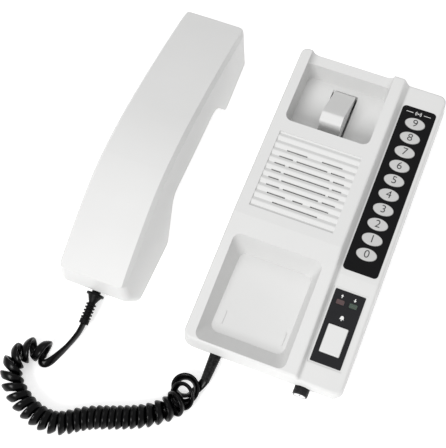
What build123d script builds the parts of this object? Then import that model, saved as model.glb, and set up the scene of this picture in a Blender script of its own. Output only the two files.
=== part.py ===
"""A wireless intercom station: base unit with cradle, keys and speaker, arched handset and curly cord.

Millimetres. The origin is the middle of the base's underside, +X towards the key strip,
+Y towards the ear end, +Z up. The handset lies beside the base on its two caps.
"""
from build123d import *
from math import atan, cos, degrees, pi, radians, sin, sqrt, tan
import os

# Base case
base_length = 216.0
base_width = 104.0
case_corner = 6.0
case_wall = 2.2
side_draft = 3.5
cradle_height = 36.6
strip_height = 29.4
parting_height = 13.5
top_edge_round = 1.8
edge_round_share = 0.45
cradle_crease_y = -22.4
cradle_slope = 7.0
strip_crease_y = -36.0
strip_slope = 6.0
valley_foot_x = 24.9
valley_lean = 0.5
step_above = 40.0
crease_overlap = 10.0
cradle_centre_x = -14.8

# Lower shell
foot_height = 1.0
lower_inset = 2.4
lower_wall = 2.0
lower_lip = 1.4
lower_edge_round = 1.6
lower_inner_corner = 2.0
shell_clearance = 0.15
plateau_length = 104.0
plateau_width = 36.0
plateau_corner = 3.0
foot_radius = 5.5
foot_recess = 0.8
foot_inset_x = 11.0
foot_inset_y = 11.0
boss_radius = 4.2
boss_x = (-43.2, -43.2, 19.9, 19.9)
boss_y = (43.5, -27.0, 90.0, -70.0)
boss_meet = 11.0
thread_depth = 10.0
screw_seat = 4.0
screw_radius = 1.5
screw_head_radius = 2.8
screw_head_height = 1.6
screw_length = 14.0
screw_clearance = 0.25
screw_slot_width = 0.7
wall_slot_spacing = 83.0
wall_slot_radius = 2.6
wall_slot_length = 10.0

# Ear recess and its back ledge
ear_width = 57.5
ear_near_y = 50.1
ear_far_y = 99.4
recess_floor = 14.0
ear_draft = 0.045
ledge_height = 30.0
ledge_cove = 5.5
ear_corner = 4.0

# Mouthpiece tray
tray_top_y = -35.2
tray_top_draft = 0.17
tray_lip_y = -106.0
tray_lip_slope = 0.95
tray_floor_width = 48.5
tray_corner = 5.0
tray_rim_width = 58.7
tray_rib_x = (-18.6, 21.3)
tray_rib_height = 0.7
tray_rib_width = 0.9
tray_rib_length = 8.5
tray_rib_y = -84.0

# Speaker grille
grille_width = 55.9
grille_length = 56.6
grille_centre_y = 12.9
louvre_pitch = 5.38
louvre_depth = 1.5
louvre_crest = 0.5
louvre_crest_from = 2.4
louvre_crest_to = 3.1
slot_width = 1.0
grille_backing = 1.2
slot_first_y = 29.5
slot_rows = (
    ((-18.8, -5.0), (5.0, 18.8)),
    ((-22.2, -12.9), (-10.4, 10.4), (12.9, 22.2)),
    ((-23.5, -16.2), (-13.9, 13.9), (16.2, 23.5)),
    ((-23.6, -17.2), (-15.3, 15.3), (17.2, 23.6)),
    ((-23.6, -16.6), (-14.8, 14.8), (16.6, 23.6)),
    ((-23.1, -14.3), (-11.8, 11.8), (14.3, 23.1)),
    ((-20.5, -8.4), (-3.4, 3.4), (8.4, 20.5)),
    ((-15.0, 15.0),),
)

# Key strip
key_count = 10
key_pitch = 10.94
key_first_y = 79.93
key_x = 36.9
key_length = 13.3
key_width = 8.3
key_stand = 0.9
key_crown = 0.5
key_flange = 1.0
key_flange_height = 1.0
key_travel = 0.8
key_gap = 0.25
key_label_width = 22.7
key_label_far_y = 91.7
key_label_near_y = -32.0
key_label_corner = 2.6
label_thickness = 0.4
label_sink = 0.15
label_gap = 0.1
key_rest_gap = 0.05
key_hollow_gap = 0.5

# Call panel, in the plane of the sloping end of the strip
call_centre_x = 36.2
call_label_width = 19.6
call_label_length = 47.8
call_label_start = 9.5
call_recess_margin = 1.3
call_recess_depth = 0.5
call_label_corner = 0.5
button_width = 12.8
button_length = 18.3
button_start = 32.1
button_stand = 1.2
button_gap = 0.25
button_corner = 0.7
button_crown = 0.6
button_flange = 1.0
button_flange_height = 1.0
lamp_x = (31.9, 40.2)
lamp_start = 17.3
lamp_width = 5.0
lamp_length = 3.0
lamp_stand = 0.3
lamp_corner = 0.6
lamp_gap = 0.05
lamp_shoulder = 0.8
lamp_shoulder_height = 0.8
lamp_air = 0.3
led_radius = 1.5
led_rim = 0.3
led_rim_height = 1.0
call_board_depth = 7.0
call_board_width = 21.0
call_board_start = 8.5
call_board_end = 57.0
board_corner = 1.0
call_post_x = (-8.2, 8.2)
call_post_distance = (12.0, 54.0)
switch_size = 6.0
switch_corner = 0.5
switch_height = 2.3
switch_plunger = 0.3
switch_plunger_radius = 1.7

# Volume knob and cord sleeve on the front wall of the lower shell
knob_x = 27.6
knob_height = 8.6
knob_radius = 4.8
knob_length = 6.5
knob_gap = 0.5
knob_flutes = 24
knob_flute_radius = 0.28
knob_cap_radius = 3.7
knob_cap_depth = 0.8
knob_shaft_radius = 1.5
knob_arch_radius = 6.2
knob_chamfer = 0.5
knob_pointer_width = 1.0
knob_pointer_depth = 0.4
volume_body = 9.5
volume_bush_radius = 2.6
volume_fit = 0.05
volume_drop = 5.0
volume_end_gap = 0.3
sleeve_x = -29.9
sleeve_height = 7.6
sleeve_root_radius = 3.7
sleeve_tip_radius = 2.9
sleeve_flange_radius = 4.6
sleeve_flange = 1.0
jack_x = 30.0
jack_height = 8.0
jack_width = 9.0
jack_length = 12.0
jack_nose_radius = 4.2
jack_bore_radius = 3.15
jack_pin_radius = 1.0
jack_depth = 9.0
jack_sink = 0.3
jack_pin_sink = 4.8

# Hook lever
slot_centre_x = cradle_centre_x + 0.1
hook_slot_width = 17.8
hook_slot_near_y = 55.0
hook_slot_far_y = 94.6
hook_width = 14.8
hook_near_y = 58.5
hook_crest_y = 64.8
hook_far_y = 93.6
hook_crest_height = 36.0
hook_heel_height = 15.2
hook_skirt = 12.8
hook_round = 2.2
hook_pin_radius = 1.5
hook_pin_fit = 0.05
hook_pin_y = 96.6
hook_pin_z = 8.2
hook_knuckle_radius = 3.0
hook_knuckle_gap = 0.4
hook_ear_thickness = 2.0
hook_front_drop = 2.2
hook_arm_reach = 7.0
hook_arm_ease = 0.4
hook_spring_room = 4.5
hook_spring_gap = 0.3
hook_switch_width = 6.0
hook_switch_length = 8.0
hook_switch_height = 4.2
hook_switch_plunger = 1.1
hook_switch_y = 80.0
hook_spring_wire = 0.6
hook_spring_coils = 4

# Boards and speaker
board_thickness = 1.6
board_drop = 7.4
board_top = strip_height - board_drop
mat_thickness = 1.0
mat_gap = 0.2
board_left_x = 24.5
board_right_x = 46.5
board_far_y = 96.0
board_near_y = -33.5
board_post_x = (27.0, 44.0)
board_post_y = (91.5, -29.0)
board_post_radius = 1.9
board_screw_radius = 1.0
board_screw_bite = 3.5
board_screw_head = 1.0
board_screw_head_radius = 1.8
mat_width = 17.0
mat_margin = 5.4
dome_radius = 2.6
dome_height = 0.9
dome_wall = 0.4
pill_radius = 1.5
pill_height = 0.3
chip_places = ((35.0, 60.0, 9.0, 9.0, 1.4), (35.0, 25.0, 8.0, 14.0, 1.6), (34.0, -8.0, 5.0, 6.0, 1.2))
capacitor_places = ((29.5, 44.0, 3.0, 7.0), (42.0, 40.0, 2.5, 6.0), (29.5, 6.0, 3.2, 7.5))
radio_x = -36.0
radio_y = -2.0
radio_width = 16.0
radio_length = 26.0
radio_standoff = 1.0
radio_margin = 1.5
radio_can_height = 2.4
radio_leg_radius = 1.0
antenna_length = 48.0
antenna_radius = 1.3
speaker_radius = 25.0
speaker_depth = 14.0
speaker_flange = 1.6
speaker_flange_width = 3.0
basket_wall = 1.0
cone_drop = 0.3
cone_depth = 7.0
cone_throat = 8.0
cone_wall = 0.6
cone_gap = 0.1
clamp_angles = (90, 210, 330)
clamp_gap = 0.1
clamp_root = 3.0
clamp_toe = 2.0
clamp_width = 6.0
clamp_thickness = 1.2
magnet_chamfer = 0.8
magnet_radius = 13.0
magnet_height = 6.0

# Handset
handset_x = -116.1
flat_half = 20.5
shoulder_half = 22.7
shoulder_drop = 3.6
side_lean = 0.095
arch_peak_y = -22.0
arch_peak_z = 57.8
ear_arcs = ((210.0, 11.0), (609.0, 11.0))
mouth_arcs = ((90.0, 16.0), (358.0, 13.0))
handset_wall = 2.2
handset_section_depth = 64.0
handset_half_width = 28.0
end_corner = 5.0
corner_least_rise = 10.0
handset_outline = (
    (119.0, 70.0, 0.0),
    (104.5, 0.0, 0.0),
    (61.0, 0.0, 5.0),
    (50.0, 22.0, 16.0),
    (-24.0, 30.0, 14.0),
    (-45.0, 0.0, 5.0),
    (-91.0, 0.0, 0.0),
    (-97.0, 15.0, 8.0),
    (-95.0, 70.0, 0.0),
)
grip_corners = slice(3, 5)
mouth_wall_corners = slice(7, 9)
handset_joint = ((112.0, 14.5), (86.0, 22.5), (-15.0, 35.0), (-99.0, 17.5))
mouth_cap_near_y = -80.0
handset_post_radius = 3.6
handset_post_joint = 15.0
handset_screw_seat = 5.0
ear_screw_y = 67.5
mouth_screw_y = -53.5
ear_capsule_y = 88.5
capsule_radius = 14.0
capsule_height = 6.0
capsule_back = 3.0
seal_height = 1.0
seal_inner_radius = 10.0
ear_hole_ring = 4.5
ear_holes = 6
mic_y = -74.0
mic_radius = 4.9
mic_height = 6.0
mic_lift = 0.8
mic_rubber = 1.6
mic_hole_ring = 2.2
mic_holes = 4
sound_hole_radius = 0.8
ballast_width = 22.0
ballast_length = 44.0
ballast_thickness = 4.0
ballast_air = 0.1
ballast_corner = 2.0
relief_height = 9.4
relief_neck_radius = 2.9
relief_flange = 1.4
relief_flange_radius = 5.8
relief_cone_radius = 4.6
relief_core_radius = 2.3
relief_cone_end = 6.0
relief_ribs = 5
relief_rib_pitch = 2.2
relief_rib_share = 0.45
relief_rib_radius = 3.3
relief_collar = 3.2
relief_collar_radius = 3.1

# Cord
cord_diameter = 2.5
lead_bend_share = 0.45
coil_steps = 600
gap_steps = 36

# The cord's free stretches, chosen by hand
lead_points = (
    (-116.1, -117.4, 6.2),
    (-116.1, -123.0, 5.3),
    (-116.8, -130.2, 3.2),
    (-118.9, -136.6, 1.7),
    (-121.1, -143.1, 1.5),
)
sleeve_tip = (-30.3, -123.7, 6.0)
base_lead_points = (
    sleeve_tip,
    (-31.1, -126.2, 4.9),
    (-32.6, -128.4, 3.4),
)

# The coil's centre line, chosen by hand: x, y, z, then the pitch, the radius and the lean of the turns there
coil_points = (
    (-128.6, -144.5, 7.3, 7.8, 5.9, 0),
    (-132.4, -143.1, 7.3, 7.8, 5.9, 0),
    (-136.6, -143.4, 7.3, 7.8, 5.9, 0),
    (-140.2, -145.3, 7.2, 7.6, 5.8, 0),
    (-143.6, -148.5, 7.1, 7.6, 5.7, 0),
    (-145.9, -152.3, 7.0, 7.6, 5.6, 0),
    (-146.6, -157.1, 6.9, 7.6, 5.5, 0),
    (-145.1, -163.0, 6.9, 7.3, 5.5, 0),
    (-141.8, -168.2, 6.9, 7.0, 5.5, 0),
    (-137.0, -172.7, 6.9, 6.8, 5.5, 0),
    (-131.4, -176.4, 6.9, 6.3, 5.5, 0),
    (-125.3, -179.5, 6.9, 5.9, 5.5, 0),
    (-118.6, -181.5, 6.9, 5.6, 5.5, 0),
    (-111.9, -182.5, 6.9, 5.3, 5.5, 0),
    (-105.5, -182.0, 6.9, 5.1, 5.5, 0),
    (-99.9, -179.6, 6.9, 4.9, 5.5, 0),
    (-92.3, -174.2, 6.9, 4.4, 5.5, 0),
    (-84.2, -169.7, 6.9, 4.2, 5.5, 0),
    (-74.1, -166.1, 6.9, 4.2, 5.5, 0),
    (-64.2, -162.0, 6.9, 4.3, 5.5, 0),
    (-56.6, -158.3, 6.9, 4.9, 5.5, 0),
    (-50.8, -154.4, 6.9, 5.9, 5.5, 0),
    (-45.3, -149.7, 6.9, 6.8, 5.6, 0),
    (-41.1, -144.3, 7.4, 7.6, 5.8, -12),
    (-38.7, -137.6, 7.3, 7.9, 6.1, -33),
    (-38.9, -134.6, 6.2, 7.8, 6.4, -44),
    (-40.7, -129.9, 3.2, 7.6, 6.8, -60),
)


def outline(points):
    """A flat face through corner points."""
    return make_face(Polyline(*points, close=True))


def side_prism(points, x_low, x_high):
    """A side profile, given as (y, z) points, carried from x_low to x_high."""
    plane = Plane(origin=(x_low, 0, 0), x_dir=(0, 1, 0), z_dir=(1, 0, 0))
    return extrude(plane * outline(points), amount=x_high - x_low)


def end_prism(points, y_low, y_high, z_base=0.0):
    """An end profile, given as (x, z) points above z_base, carried from y_low to y_high."""
    plane = Plane(origin=(0, y_high, z_base), x_dir=(1, 0, 0), z_dir=(0, -1, 0))
    return extrude(plane * outline(points), amount=y_high - y_low)


def brick(x_low, x_high, y_low, y_high, z_low, z_high):
    """A block between two corners."""
    block = Box(x_high - x_low, y_high - y_low, z_high - z_low, align=(Align.MIN, Align.MIN, Align.MIN))
    return Pos(x_low, y_low, z_low) * block


def post(x, y, z_low, z_high, radius):
    """An upright cylinder."""
    seat = (Align.CENTER, Align.CENTER, Align.MIN)
    return Pos(x, y, z_low) * Cylinder(radius, z_high - z_low, align=seat)


def rod_x(x_low, x_high, y, z, radius):
    """A cylinder lying along X."""
    plane = Plane(origin=(x_low, y, z), x_dir=(0, 1, 0), z_dir=(1, 0, 0))
    return extrude(plane * Circle(radius), amount=x_high - x_low)


def rod_y(x, y_low, y_high, z, radius):
    """A cylinder lying along Y."""
    plane = Plane(origin=(x, y_high, z), x_dir=(1, 0, 0), z_dir=(0, -1, 0))
    return extrude(plane * Circle(radius), amount=y_high - y_low)


def cradle_top(y):
    """Height of the raised half at y."""
    return cradle_height - tan(radians(cradle_slope)) * max(0.0, cradle_crease_y - y)


def strip_top(y):
    """Height of the key strip at y."""
    return strip_height - tan(radians(strip_slope)) * max(0.0, strip_crease_y - y)


def case_body(inset):
    """The upper shell's block, or the same block drawn in by a wall on every side but the bottom."""
    plan = RectangleRounded(base_width - 2 * inset, base_length - 2 * inset, case_corner - inset)
    rise = cradle_height - parting_height + 2 * top_edge_round
    body = extrude(Plane.XY.offset(parting_height) * plan, amount=rise, taper=side_draft)
    front = -base_length
    profile = [
        (base_length, 0),
        (base_length, cradle_height - inset),
        (cradle_crease_y, cradle_height - inset),
        (front, cradle_top(front) - inset),
        (front, 0),
    ]
    body &= side_prism(profile, -base_width, base_width)
    return body - valley(inset)


def valley(inset):
    """What is missing above the key strip: flat at the back, sloping at the front, one wall leaning."""
    foot = valley_foot_x + inset * (valley_lean - sqrt(1 + valley_lean ** 2))
    slope = radians(strip_slope)
    level = strip_height - inset
    flat = end_prism(valley_section(foot, valley_lean), strip_crease_y, base_length, level)
    start = Plane(
        origin=(0, strip_crease_y + cos(slope) * crease_overlap, level + sin(slope) * crease_overlap),
        x_dir=(1, 0, 0),
        z_dir=(0, -cos(slope), -sin(slope)),
    )
    section = valley_section(foot, valley_lean / cos(slope))
    return flat + extrude(start * outline(section), amount=crease_overlap + base_length)


def valley_section(foot, lean):
    """The valley's end outline, measured up from the strip."""
    return [(foot, 0), (base_width, 0), (base_width, step_above), (foot - lean * step_above, step_above)]


def rounded_case():
    """The outer block with its upper edges rounded, less where the two halves end nearly level."""
    step = cradle_top(-base_length / 2) - strip_top(-base_length / 2)
    return fillet(upper_edges(case_body(0)), min(top_edge_round, edge_round_share * step))


def upper_edges(body):
    """The edges round the top of the case: all but the parting edge, the creases and the corner seams."""
    low = parting_height + top_edge_round
    picked = []
    for edge in body.edges():
        box = edge.bounding_box()
        crosses = box.size.X > 5 and box.size.Y < 0.01
        on_crease = crosses and abs(box.max.Y) < base_length / 2 - 5
        if box.min.Z > low and not on_crease:
            picked.append(edge)
    return picked


def ear_recess(grow):
    """The deep recess for the earpiece and the ledge behind it, or the same grown by a wall."""
    rise = cradle_height - recess_floor
    near = ear_near_y + ear_draft * rise
    far = ear_far_y - ear_draft * (ledge_height - recess_floor)
    width = ear_width - 2 * ear_draft * rise + 2 * grow
    plan = RectangleRounded(width, far - near + 2 * grow, ear_corner + grow)
    floor = Plane(origin=(cradle_centre_x, (near + far) / 2, recess_floor - grow))
    pocket = extrude(floor * plan, amount=rise + grow + step_above, taper=-degrees(atan(ear_draft)))
    return pocket + ledge_cut(grow)


def ledge_cut(grow):
    """The open channel from the recess to the back end, coved where its floor meets the rails."""
    low = ledge_height - grow
    foot = ear_width / 2 - ear_draft * (cradle_height - low) + grow
    top = foot + ear_draft * step_above
    section = Polyline((-foot, 0), (foot, 0), (top, step_above), (-top, step_above), close=True)
    face = make_face(section)
    coved = fillet(face.vertices().sort_by(Axis.Y)[:2], ledge_cove + grow)
    back = Plane(origin=(cradle_centre_x, base_length, low), x_dir=(1, 0, 0), z_dir=(0, -1, 0))
    return extrude(back * coved, amount=base_length - ear_far_y + ear_corner)


def tray(grow):
    """The mouthpiece tray: a flat floor, four leaning walls and a rim in the plane of the slope."""
    slope = radians(cradle_slope)
    floor_near = tray_top_y - tray_top_draft * (cradle_top(tray_top_y) - recess_floor)
    floor_front = tray_lip_y + tray_lip_slope * (cradle_top(tray_lip_y) - recess_floor)
    floor_size = (tray_floor_width + 2 * grow, floor_near - floor_front + 2 * grow)
    floor = Plane(origin=(cradle_centre_x, (floor_near + floor_front) / 2, recess_floor - grow))
    middle = (tray_top_y + tray_lip_y) / 2
    rim_size = (tray_rim_width + 2 * grow, (tray_top_y - tray_lip_y) / cos(slope) + 2 * grow)
    rim = Plane(
        origin=(cradle_centre_x, middle, cradle_top(middle)),
        x_dir=(1, 0, 0),
        z_dir=(0, -sin(slope), cos(slope)),
    )
    floor_face = floor * RectangleRounded(*floor_size, tray_corner + grow)
    rim_face = rim * RectangleRounded(*rim_size, tray_corner + grow)
    pocket = loft([floor_face, rim_face], ruled=True)
    return pocket + extrude(rim_face, amount=step_above / 2)


def grille_panel():
    """The sunk grille: a row of louvres, each rising from its slot to a crest and falling to the next."""
    near = grille_centre_y - grille_length / 2
    far = grille_centre_y + grille_length / 2
    profile = [(near - louvre_pitch, step_above)]
    row = int((near - slot_first_y) // louvre_pitch)
    valley_y = slot_first_y + row * louvre_pitch
    while valley_y < far:
        profile.append((valley_y, cradle_height - louvre_depth))
        profile.append((valley_y + louvre_crest_from, cradle_height - louvre_crest))
        profile.append((valley_y + louvre_crest_to, cradle_height - louvre_crest))
        valley_y += louvre_pitch
    profile.append((valley_y, cradle_height - louvre_depth))
    profile.append((valley_y, step_above))
    left = cradle_centre_x - grille_width / 2
    teeth = side_prism(profile, left, left + grille_width)
    return teeth & brick(left, left + grille_width, near, far, 0, step_above)


def grille_slots():
    """The narrow slots at the foot of each louvre, shorter and broken up towards the grille's ends."""
    low = cradle_height - case_wall - grille_backing - 1
    high = cradle_height
    cuts = []
    for row, spans in enumerate(slot_rows):
        y = slot_first_y - row * louvre_pitch
        for left, right in spans:
            x = cradle_centre_x
            cuts.append(brick(x + left, x + right, y - slot_width / 2, y + slot_width / 2, low, high))
    return cuts


def key_y(index):
    """Centre of a key, counted from the ear end."""
    return key_first_y - index * key_pitch


def key_window(index, gap):
    """The oval a key moves in, as a tall solid."""
    oval = Ellipse(key_length / 2 + gap, key_width / 2 + gap)
    return Pos(key_x, key_y(index), board_top + mat_thickness) * extrude(oval, amount=step_above / 2)


def key_label_sheet(low, high, gap):
    """The key label's outline between two heights."""
    length = key_label_far_y - key_label_near_y
    plan = RectangleRounded(key_label_width + 2 * gap, length + 2 * gap, key_label_corner)
    y = (key_label_far_y + key_label_near_y) / 2
    return Pos(key_x, y, low) * extrude(plan, amount=high - low)


def call_plane(distance, rise=0.0):
    """A plane on the strip's slope, its centre a distance down from the crease and raised off the surface."""
    slope = radians(strip_slope)
    y = strip_crease_y - distance * cos(slope) - rise * sin(slope)
    z = strip_height - distance * sin(slope) + rise * cos(slope)
    return Plane(origin=(call_centre_x, y, z), x_dir=(1, 0, 0), z_dir=(0, -sin(slope), cos(slope)))


def call_block(width, length, distance, low, high, corner):
    """A rounded block square to the slope, from low to high above it."""
    return extrude(call_plane(distance, low) * RectangleRounded(width, length, corner), amount=high - low)


def call_button_block(gap, low, high):
    """The call button's outline, grown by a gap."""
    distance = button_start + button_length / 2
    corner = button_corner + gap
    return call_block(button_width + 2 * gap, button_length + 2 * gap, distance, low, high, corner)


def lamp_block(x, gap, low, high):
    """A lamp lens's outline, grown by a gap."""
    plane = call_plane(lamp_start, low)
    plan = RectangleRounded(lamp_width + 2 * gap, lamp_length + 2 * gap, lamp_corner + gap)
    return extrude(plane * (Pos(x - call_centre_x, 0) * plan), amount=high - low)


def boss_places():
    """Where the four case screws stand."""
    return [(x, y) for x, y in zip(boss_x, boss_y)]


def base_top_shell():
    """The white upper shell with its recesses, grille, windows, screw posts and hook ears."""
    outer = rounded_case()
    inner_x = base_width / 2 - lower_inset - lower_wall - shell_clearance
    inner_y = base_length / 2 - lower_inset - lower_wall - shell_clearance
    below = brick(-inner_x, inner_x, -inner_y, inner_y, foot_height + lower_wall, parting_height)
    room = outer + below
    shell = outer - case_body(case_wall)
    shell += (ear_recess(case_wall) + tray(case_wall)) & room
    shell += grille_backing_plate()
    core = case_body(case_wall / 2) + below
    for x, y in boss_places():
        shell += post(x, y, boss_meet, cradle_top(y) - case_wall / 2, boss_radius) & core
    for x, y in board_post_places():
        shell += post(x, y, board_top, strip_height - case_wall / 2, board_post_radius)
    for x, distance in call_post_places():
        shell += call_post(x, distance, board_post_radius, -call_board_depth, -case_wall / 2)
    shell -= ear_recess(0)
    shell -= tray(0)
    shell += tray_ribs()
    shell -= grille_panel()
    shell -= grille_slots()
    shell -= [key_window(index, key_gap) for index in range(key_count)]
    shell -= key_label_sheet(strip_height - label_sink, strip_height + 1, label_gap)
    shell -= call_panel_cuts()
    shell -= hook_slot()
    shell += hook_ears()
    pin_ends = (cradle_centre_x - hook_slot_width, cradle_centre_x + hook_slot_width)
    shell -= rod_x(*pin_ends, hook_pin_y, hook_pin_z, hook_pin_radius)
    shell -= [post(x, y, boss_meet, boss_meet + thread_depth, screw_radius) for x, y in boss_places()]
    shell -= board_screw_holes()
    shell -= rod_y(knob_x, -base_length, -base_length / 2 + lower_inset, knob_height, knob_arch_radius)
    return shell


def grille_backing_plate():
    """The thicker plate behind the louvres."""
    left = cradle_centre_x - grille_width / 2
    near = grille_centre_y - grille_length / 2
    high = cradle_height - case_wall
    return brick(left, left + grille_width, near, near + grille_length, high - grille_backing, high)


def tray_ribs():
    """Two small raised dashes on the tray's floor."""
    ribs = []
    for x in tray_rib_x:
        low_x = cradle_centre_x + x - tray_rib_width / 2
        low_y = tray_rib_y - tray_rib_length / 2
        top = recess_floor + tray_rib_height
        ribs.append(brick(low_x, low_x + tray_rib_width, low_y, low_y + tray_rib_length, recess_floor, top))
    return ribs


def call_panel_cuts():
    """The shallow bed of the call label and the windows for the button and the lamps."""
    width = call_label_width + 2 * call_recess_margin
    length = call_label_length + 2 * call_recess_margin
    middle = call_label_start + call_label_length / 2
    bed = call_block(width, length, middle, -call_recess_depth, 1, call_label_corner)
    cuts = [bed, call_button_block(button_gap, -2 * case_wall, 1)]
    cuts += [lamp_block(x, lamp_gap, -2 * case_wall, 1) for x in lamp_x]
    return cuts


def board_post_places():
    """The main board's four posts, at the ends of the key row."""
    return [(x, y) for x in board_post_x for y in board_post_y]


def call_post_places():
    """The call board's posts: across the panel, and down from the crease."""
    return [(x, distance) for x in call_post_x for distance in call_post_distance]


def call_post(x, distance, radius, low, high):
    """A post square to the slope."""
    return extrude(call_plane(distance, low) * (Pos(x, 0) * Circle(radius)), amount=high - low)


def board_screw_holes():
    """Pilot holes up into the boards' posts."""
    holes = [post(x, y, board_top, board_top + board_screw_bite, board_screw_radius)
             for x, y in board_post_places()]
    bite = board_screw_bite - call_board_depth
    holes += [call_post(x, distance, board_screw_radius, -call_board_depth, bite)
              for x, distance in call_post_places()]
    return holes


def hook_slot():
    """The opening in the recess floor that the hook lever moves in."""
    left = slot_centre_x - hook_slot_width / 2
    low = recess_floor - case_wall - 1
    return brick(left, left + hook_slot_width, hook_slot_near_y, hook_slot_far_y, low, recess_floor + 1)


def hook_ears():
    """Two plates under the recess floor that hold the hook's pin."""
    ears = []
    for side in (-1, 1):
        inner = slot_centre_x + side * (hook_width / 2 + hook_knuckle_gap)
        outer = inner + side * hook_ear_thickness
        low_z = hook_pin_z - hook_knuckle_radius
        top = recess_floor - case_wall / 2
        ears.append(brick(min(inner, outer), max(inner, outer), hook_pin_y - hook_knuckle_radius,
                          hook_pin_y + hook_knuckle_radius, low_z, top))
    return ears


def base_bottom_shell():
    """The lower shell: a tray with a flat plateau to stand on, keyholes, screw posts and end openings."""
    width = base_width - 2 * lower_inset
    length = base_length - 2 * lower_inset
    top = parting_height + lower_lip
    outer = extrude(Plane.XY.offset(foot_height) * RectangleRounded(width, length, case_corner - lower_inset),
                    amount=top - foot_height)
    low_edges = outer.edges().filter_by_position(Axis.Z, foot_height - 0.1, foot_height + 0.1)
    outer = fillet(low_edges, lower_edge_round)
    plateau = RectangleRounded(plateau_width, plateau_length, plateau_corner)
    outer += extrude(plateau, amount=foot_height)
    inner_plan = RectangleRounded(width - 2 * lower_wall, length - 2 * lower_wall, lower_inner_corner)
    floor_top = foot_height + lower_wall
    shell = outer - extrude(Plane.XY.offset(floor_top) * inner_plan, amount=top)
    for x, y in boss_places():
        shell += post(x, y, floor_top - lower_wall / 2, boss_meet, boss_radius)
    for x, y in boss_places():
        shell -= post(x, y, 0, screw_seat, screw_head_radius + screw_clearance)
        shell -= post(x, y, 0, boss_meet, screw_radius + screw_clearance)
    shell -= [foot_block(x, y) for x, y in foot_places()]
    for side in (-1, 1):
        shell -= wall_slot(side * wall_slot_spacing / 2, floor_top)
    front = -base_length / 2 + lower_inset
    shell -= rod_y(knob_x, front - 1, front + lower_wall + 1, knob_height, volume_bush_radius)
    shell -= rod_y(sleeve_x, front - 1, front + lower_wall + 1, sleeve_height, sleeve_root_radius)
    shell -= rod_y(jack_x, -front - lower_wall - 1, -front + 1, jack_height, jack_nose_radius)
    return shell


def wall_slot(y, floor_top):
    """A slot for a wall screw, round at both ends."""
    reach = wall_slot_length / 2 - wall_slot_radius
    slot = brick(-wall_slot_radius, wall_slot_radius, y - reach, y + reach, -1, floor_top + 1)
    slot += post(0, y + reach, -1, floor_top + 1, wall_slot_radius)
    slot += post(0, y - reach, -1, floor_top + 1, wall_slot_radius)
    return slot


def foot_places():
    """The four feet, near the corners."""
    x = base_width / 2 - foot_inset_x
    y = base_length / 2 - foot_inset_y
    return [(side * x, end * y) for side in (-1, 1) for end in (-1, 1)]


def foot_block(x, y):
    """One rubber foot, let into the underside."""
    return post(x, y, 0, foot_height + foot_recess, foot_radius)


def rubber_feet():
    """The four feet."""
    return [foot_block(x, y) for x, y in foot_places()]


def case_screws():
    """Four screws up through the lower shell's posts."""
    screws = []
    for x, y in boss_places():
        shank = post(x, y, screw_seat, screw_seat + screw_length, screw_radius)
        head = post(x, y, screw_seat - screw_head_height, screw_seat, screw_head_radius)
        slot = brick(x - screw_head_radius, x + screw_head_radius, y - screw_slot_width / 2,
                     y + screw_slot_width / 2,
                     screw_seat - screw_head_height, screw_seat - screw_head_height / 2)
        screws.append(shank + head - slot)
    return screws


def number_key(index):
    """One oval key: a crowned cap, a flange under the shell and a hollow for the rubber dome."""
    top = strip_height + key_stand
    seat = strip_height - case_wall - key_rest_gap
    low = board_top + mat_thickness + key_travel + mat_gap
    oval = Ellipse(key_length / 2, key_width / 2)
    rim = Ellipse(key_length / 2 + key_flange, key_width / 2 + key_flange)
    cap = Pos(key_x, key_y(index), low) * extrude(oval, amount=top - low)
    top_edges = cap.edges().filter_by_position(Axis.Z, top - 0.1, top + 0.1)
    cap = fillet(top_edges, key_crown)
    cap += Pos(key_x, key_y(index), seat - key_flange_height) * extrude(rim, amount=key_flange_height)
    hollow_top = low + dome_height + key_travel + mat_gap
    hollow = post(key_x, key_y(index), low, hollow_top, dome_radius + key_hollow_gap)
    return cap - hollow


def key_label():
    """The black label over the strip, with an oval hole for each key."""
    low = strip_height - label_sink
    label = key_label_sheet(low, low + label_thickness, 0)
    return label - [key_window(index, key_gap) for index in range(key_count)]


def call_label():
    """The black label of the call panel, with a window for the button and the lamps."""
    middle = call_label_start + call_label_length / 2
    low = -call_recess_depth
    high = low + label_thickness
    label = call_block(call_label_width, call_label_length, middle, low, high, call_label_corner)
    label -= call_button_block(button_gap, -case_wall, 1)
    label -= [lamp_block(x, lamp_gap, -case_wall, 1) for x in lamp_x]
    return label


def call_button():
    """The broad call button: a soft-edged cap with a flange that the shell holds down."""
    low = -case_wall - key_rest_gap - button_flange_height
    cap = call_button_block(0, low, button_stand)
    top_plane = call_plane(button_start + button_length / 2, button_stand)
    top_face = cap.faces().sort_by_distance(top_plane.origin)[0]
    cap = fillet(top_face.edges(), button_crown)
    flange = call_button_block(button_flange, low, low + button_flange_height)
    return cap + flange


def lamp_lens(x):
    """A small clear window over a lamp, with a shoulder behind the shell."""
    low = -case_wall - lamp_shoulder_height
    lens = lamp_block(x, 0, low, lamp_stand)
    shoulder = lamp_block(x, lamp_shoulder, low, -case_wall)
    return lens + shoulder


def lamp_leds():
    """Two lamps standing on the call board under their lenses."""
    lamps = []
    for x in lamp_x:
        plane = call_plane(lamp_start, -call_board_depth)
        centre = Pos(x - call_centre_x, 0)
        rise = call_board_depth - case_wall - lamp_shoulder_height - lamp_air
        body = extrude(plane * (centre * Circle(led_radius)), amount=rise)
        base = extrude(plane * (centre * Circle(led_radius + led_rim)), amount=led_rim_height)
        lamps.append(body + base)
    return lamps


def call_board():
    """The small board under the call panel, square to the slope."""
    middle = (call_board_start + call_board_end) / 2
    length = call_board_end - call_board_start
    low = -call_board_depth - board_thickness
    board = call_block(call_board_width, length, middle, low, -call_board_depth, board_corner)
    holes = [call_post(x, distance, board_screw_radius, low, -call_board_depth)
             for x, distance in call_post_places()]
    return board - holes


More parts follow.
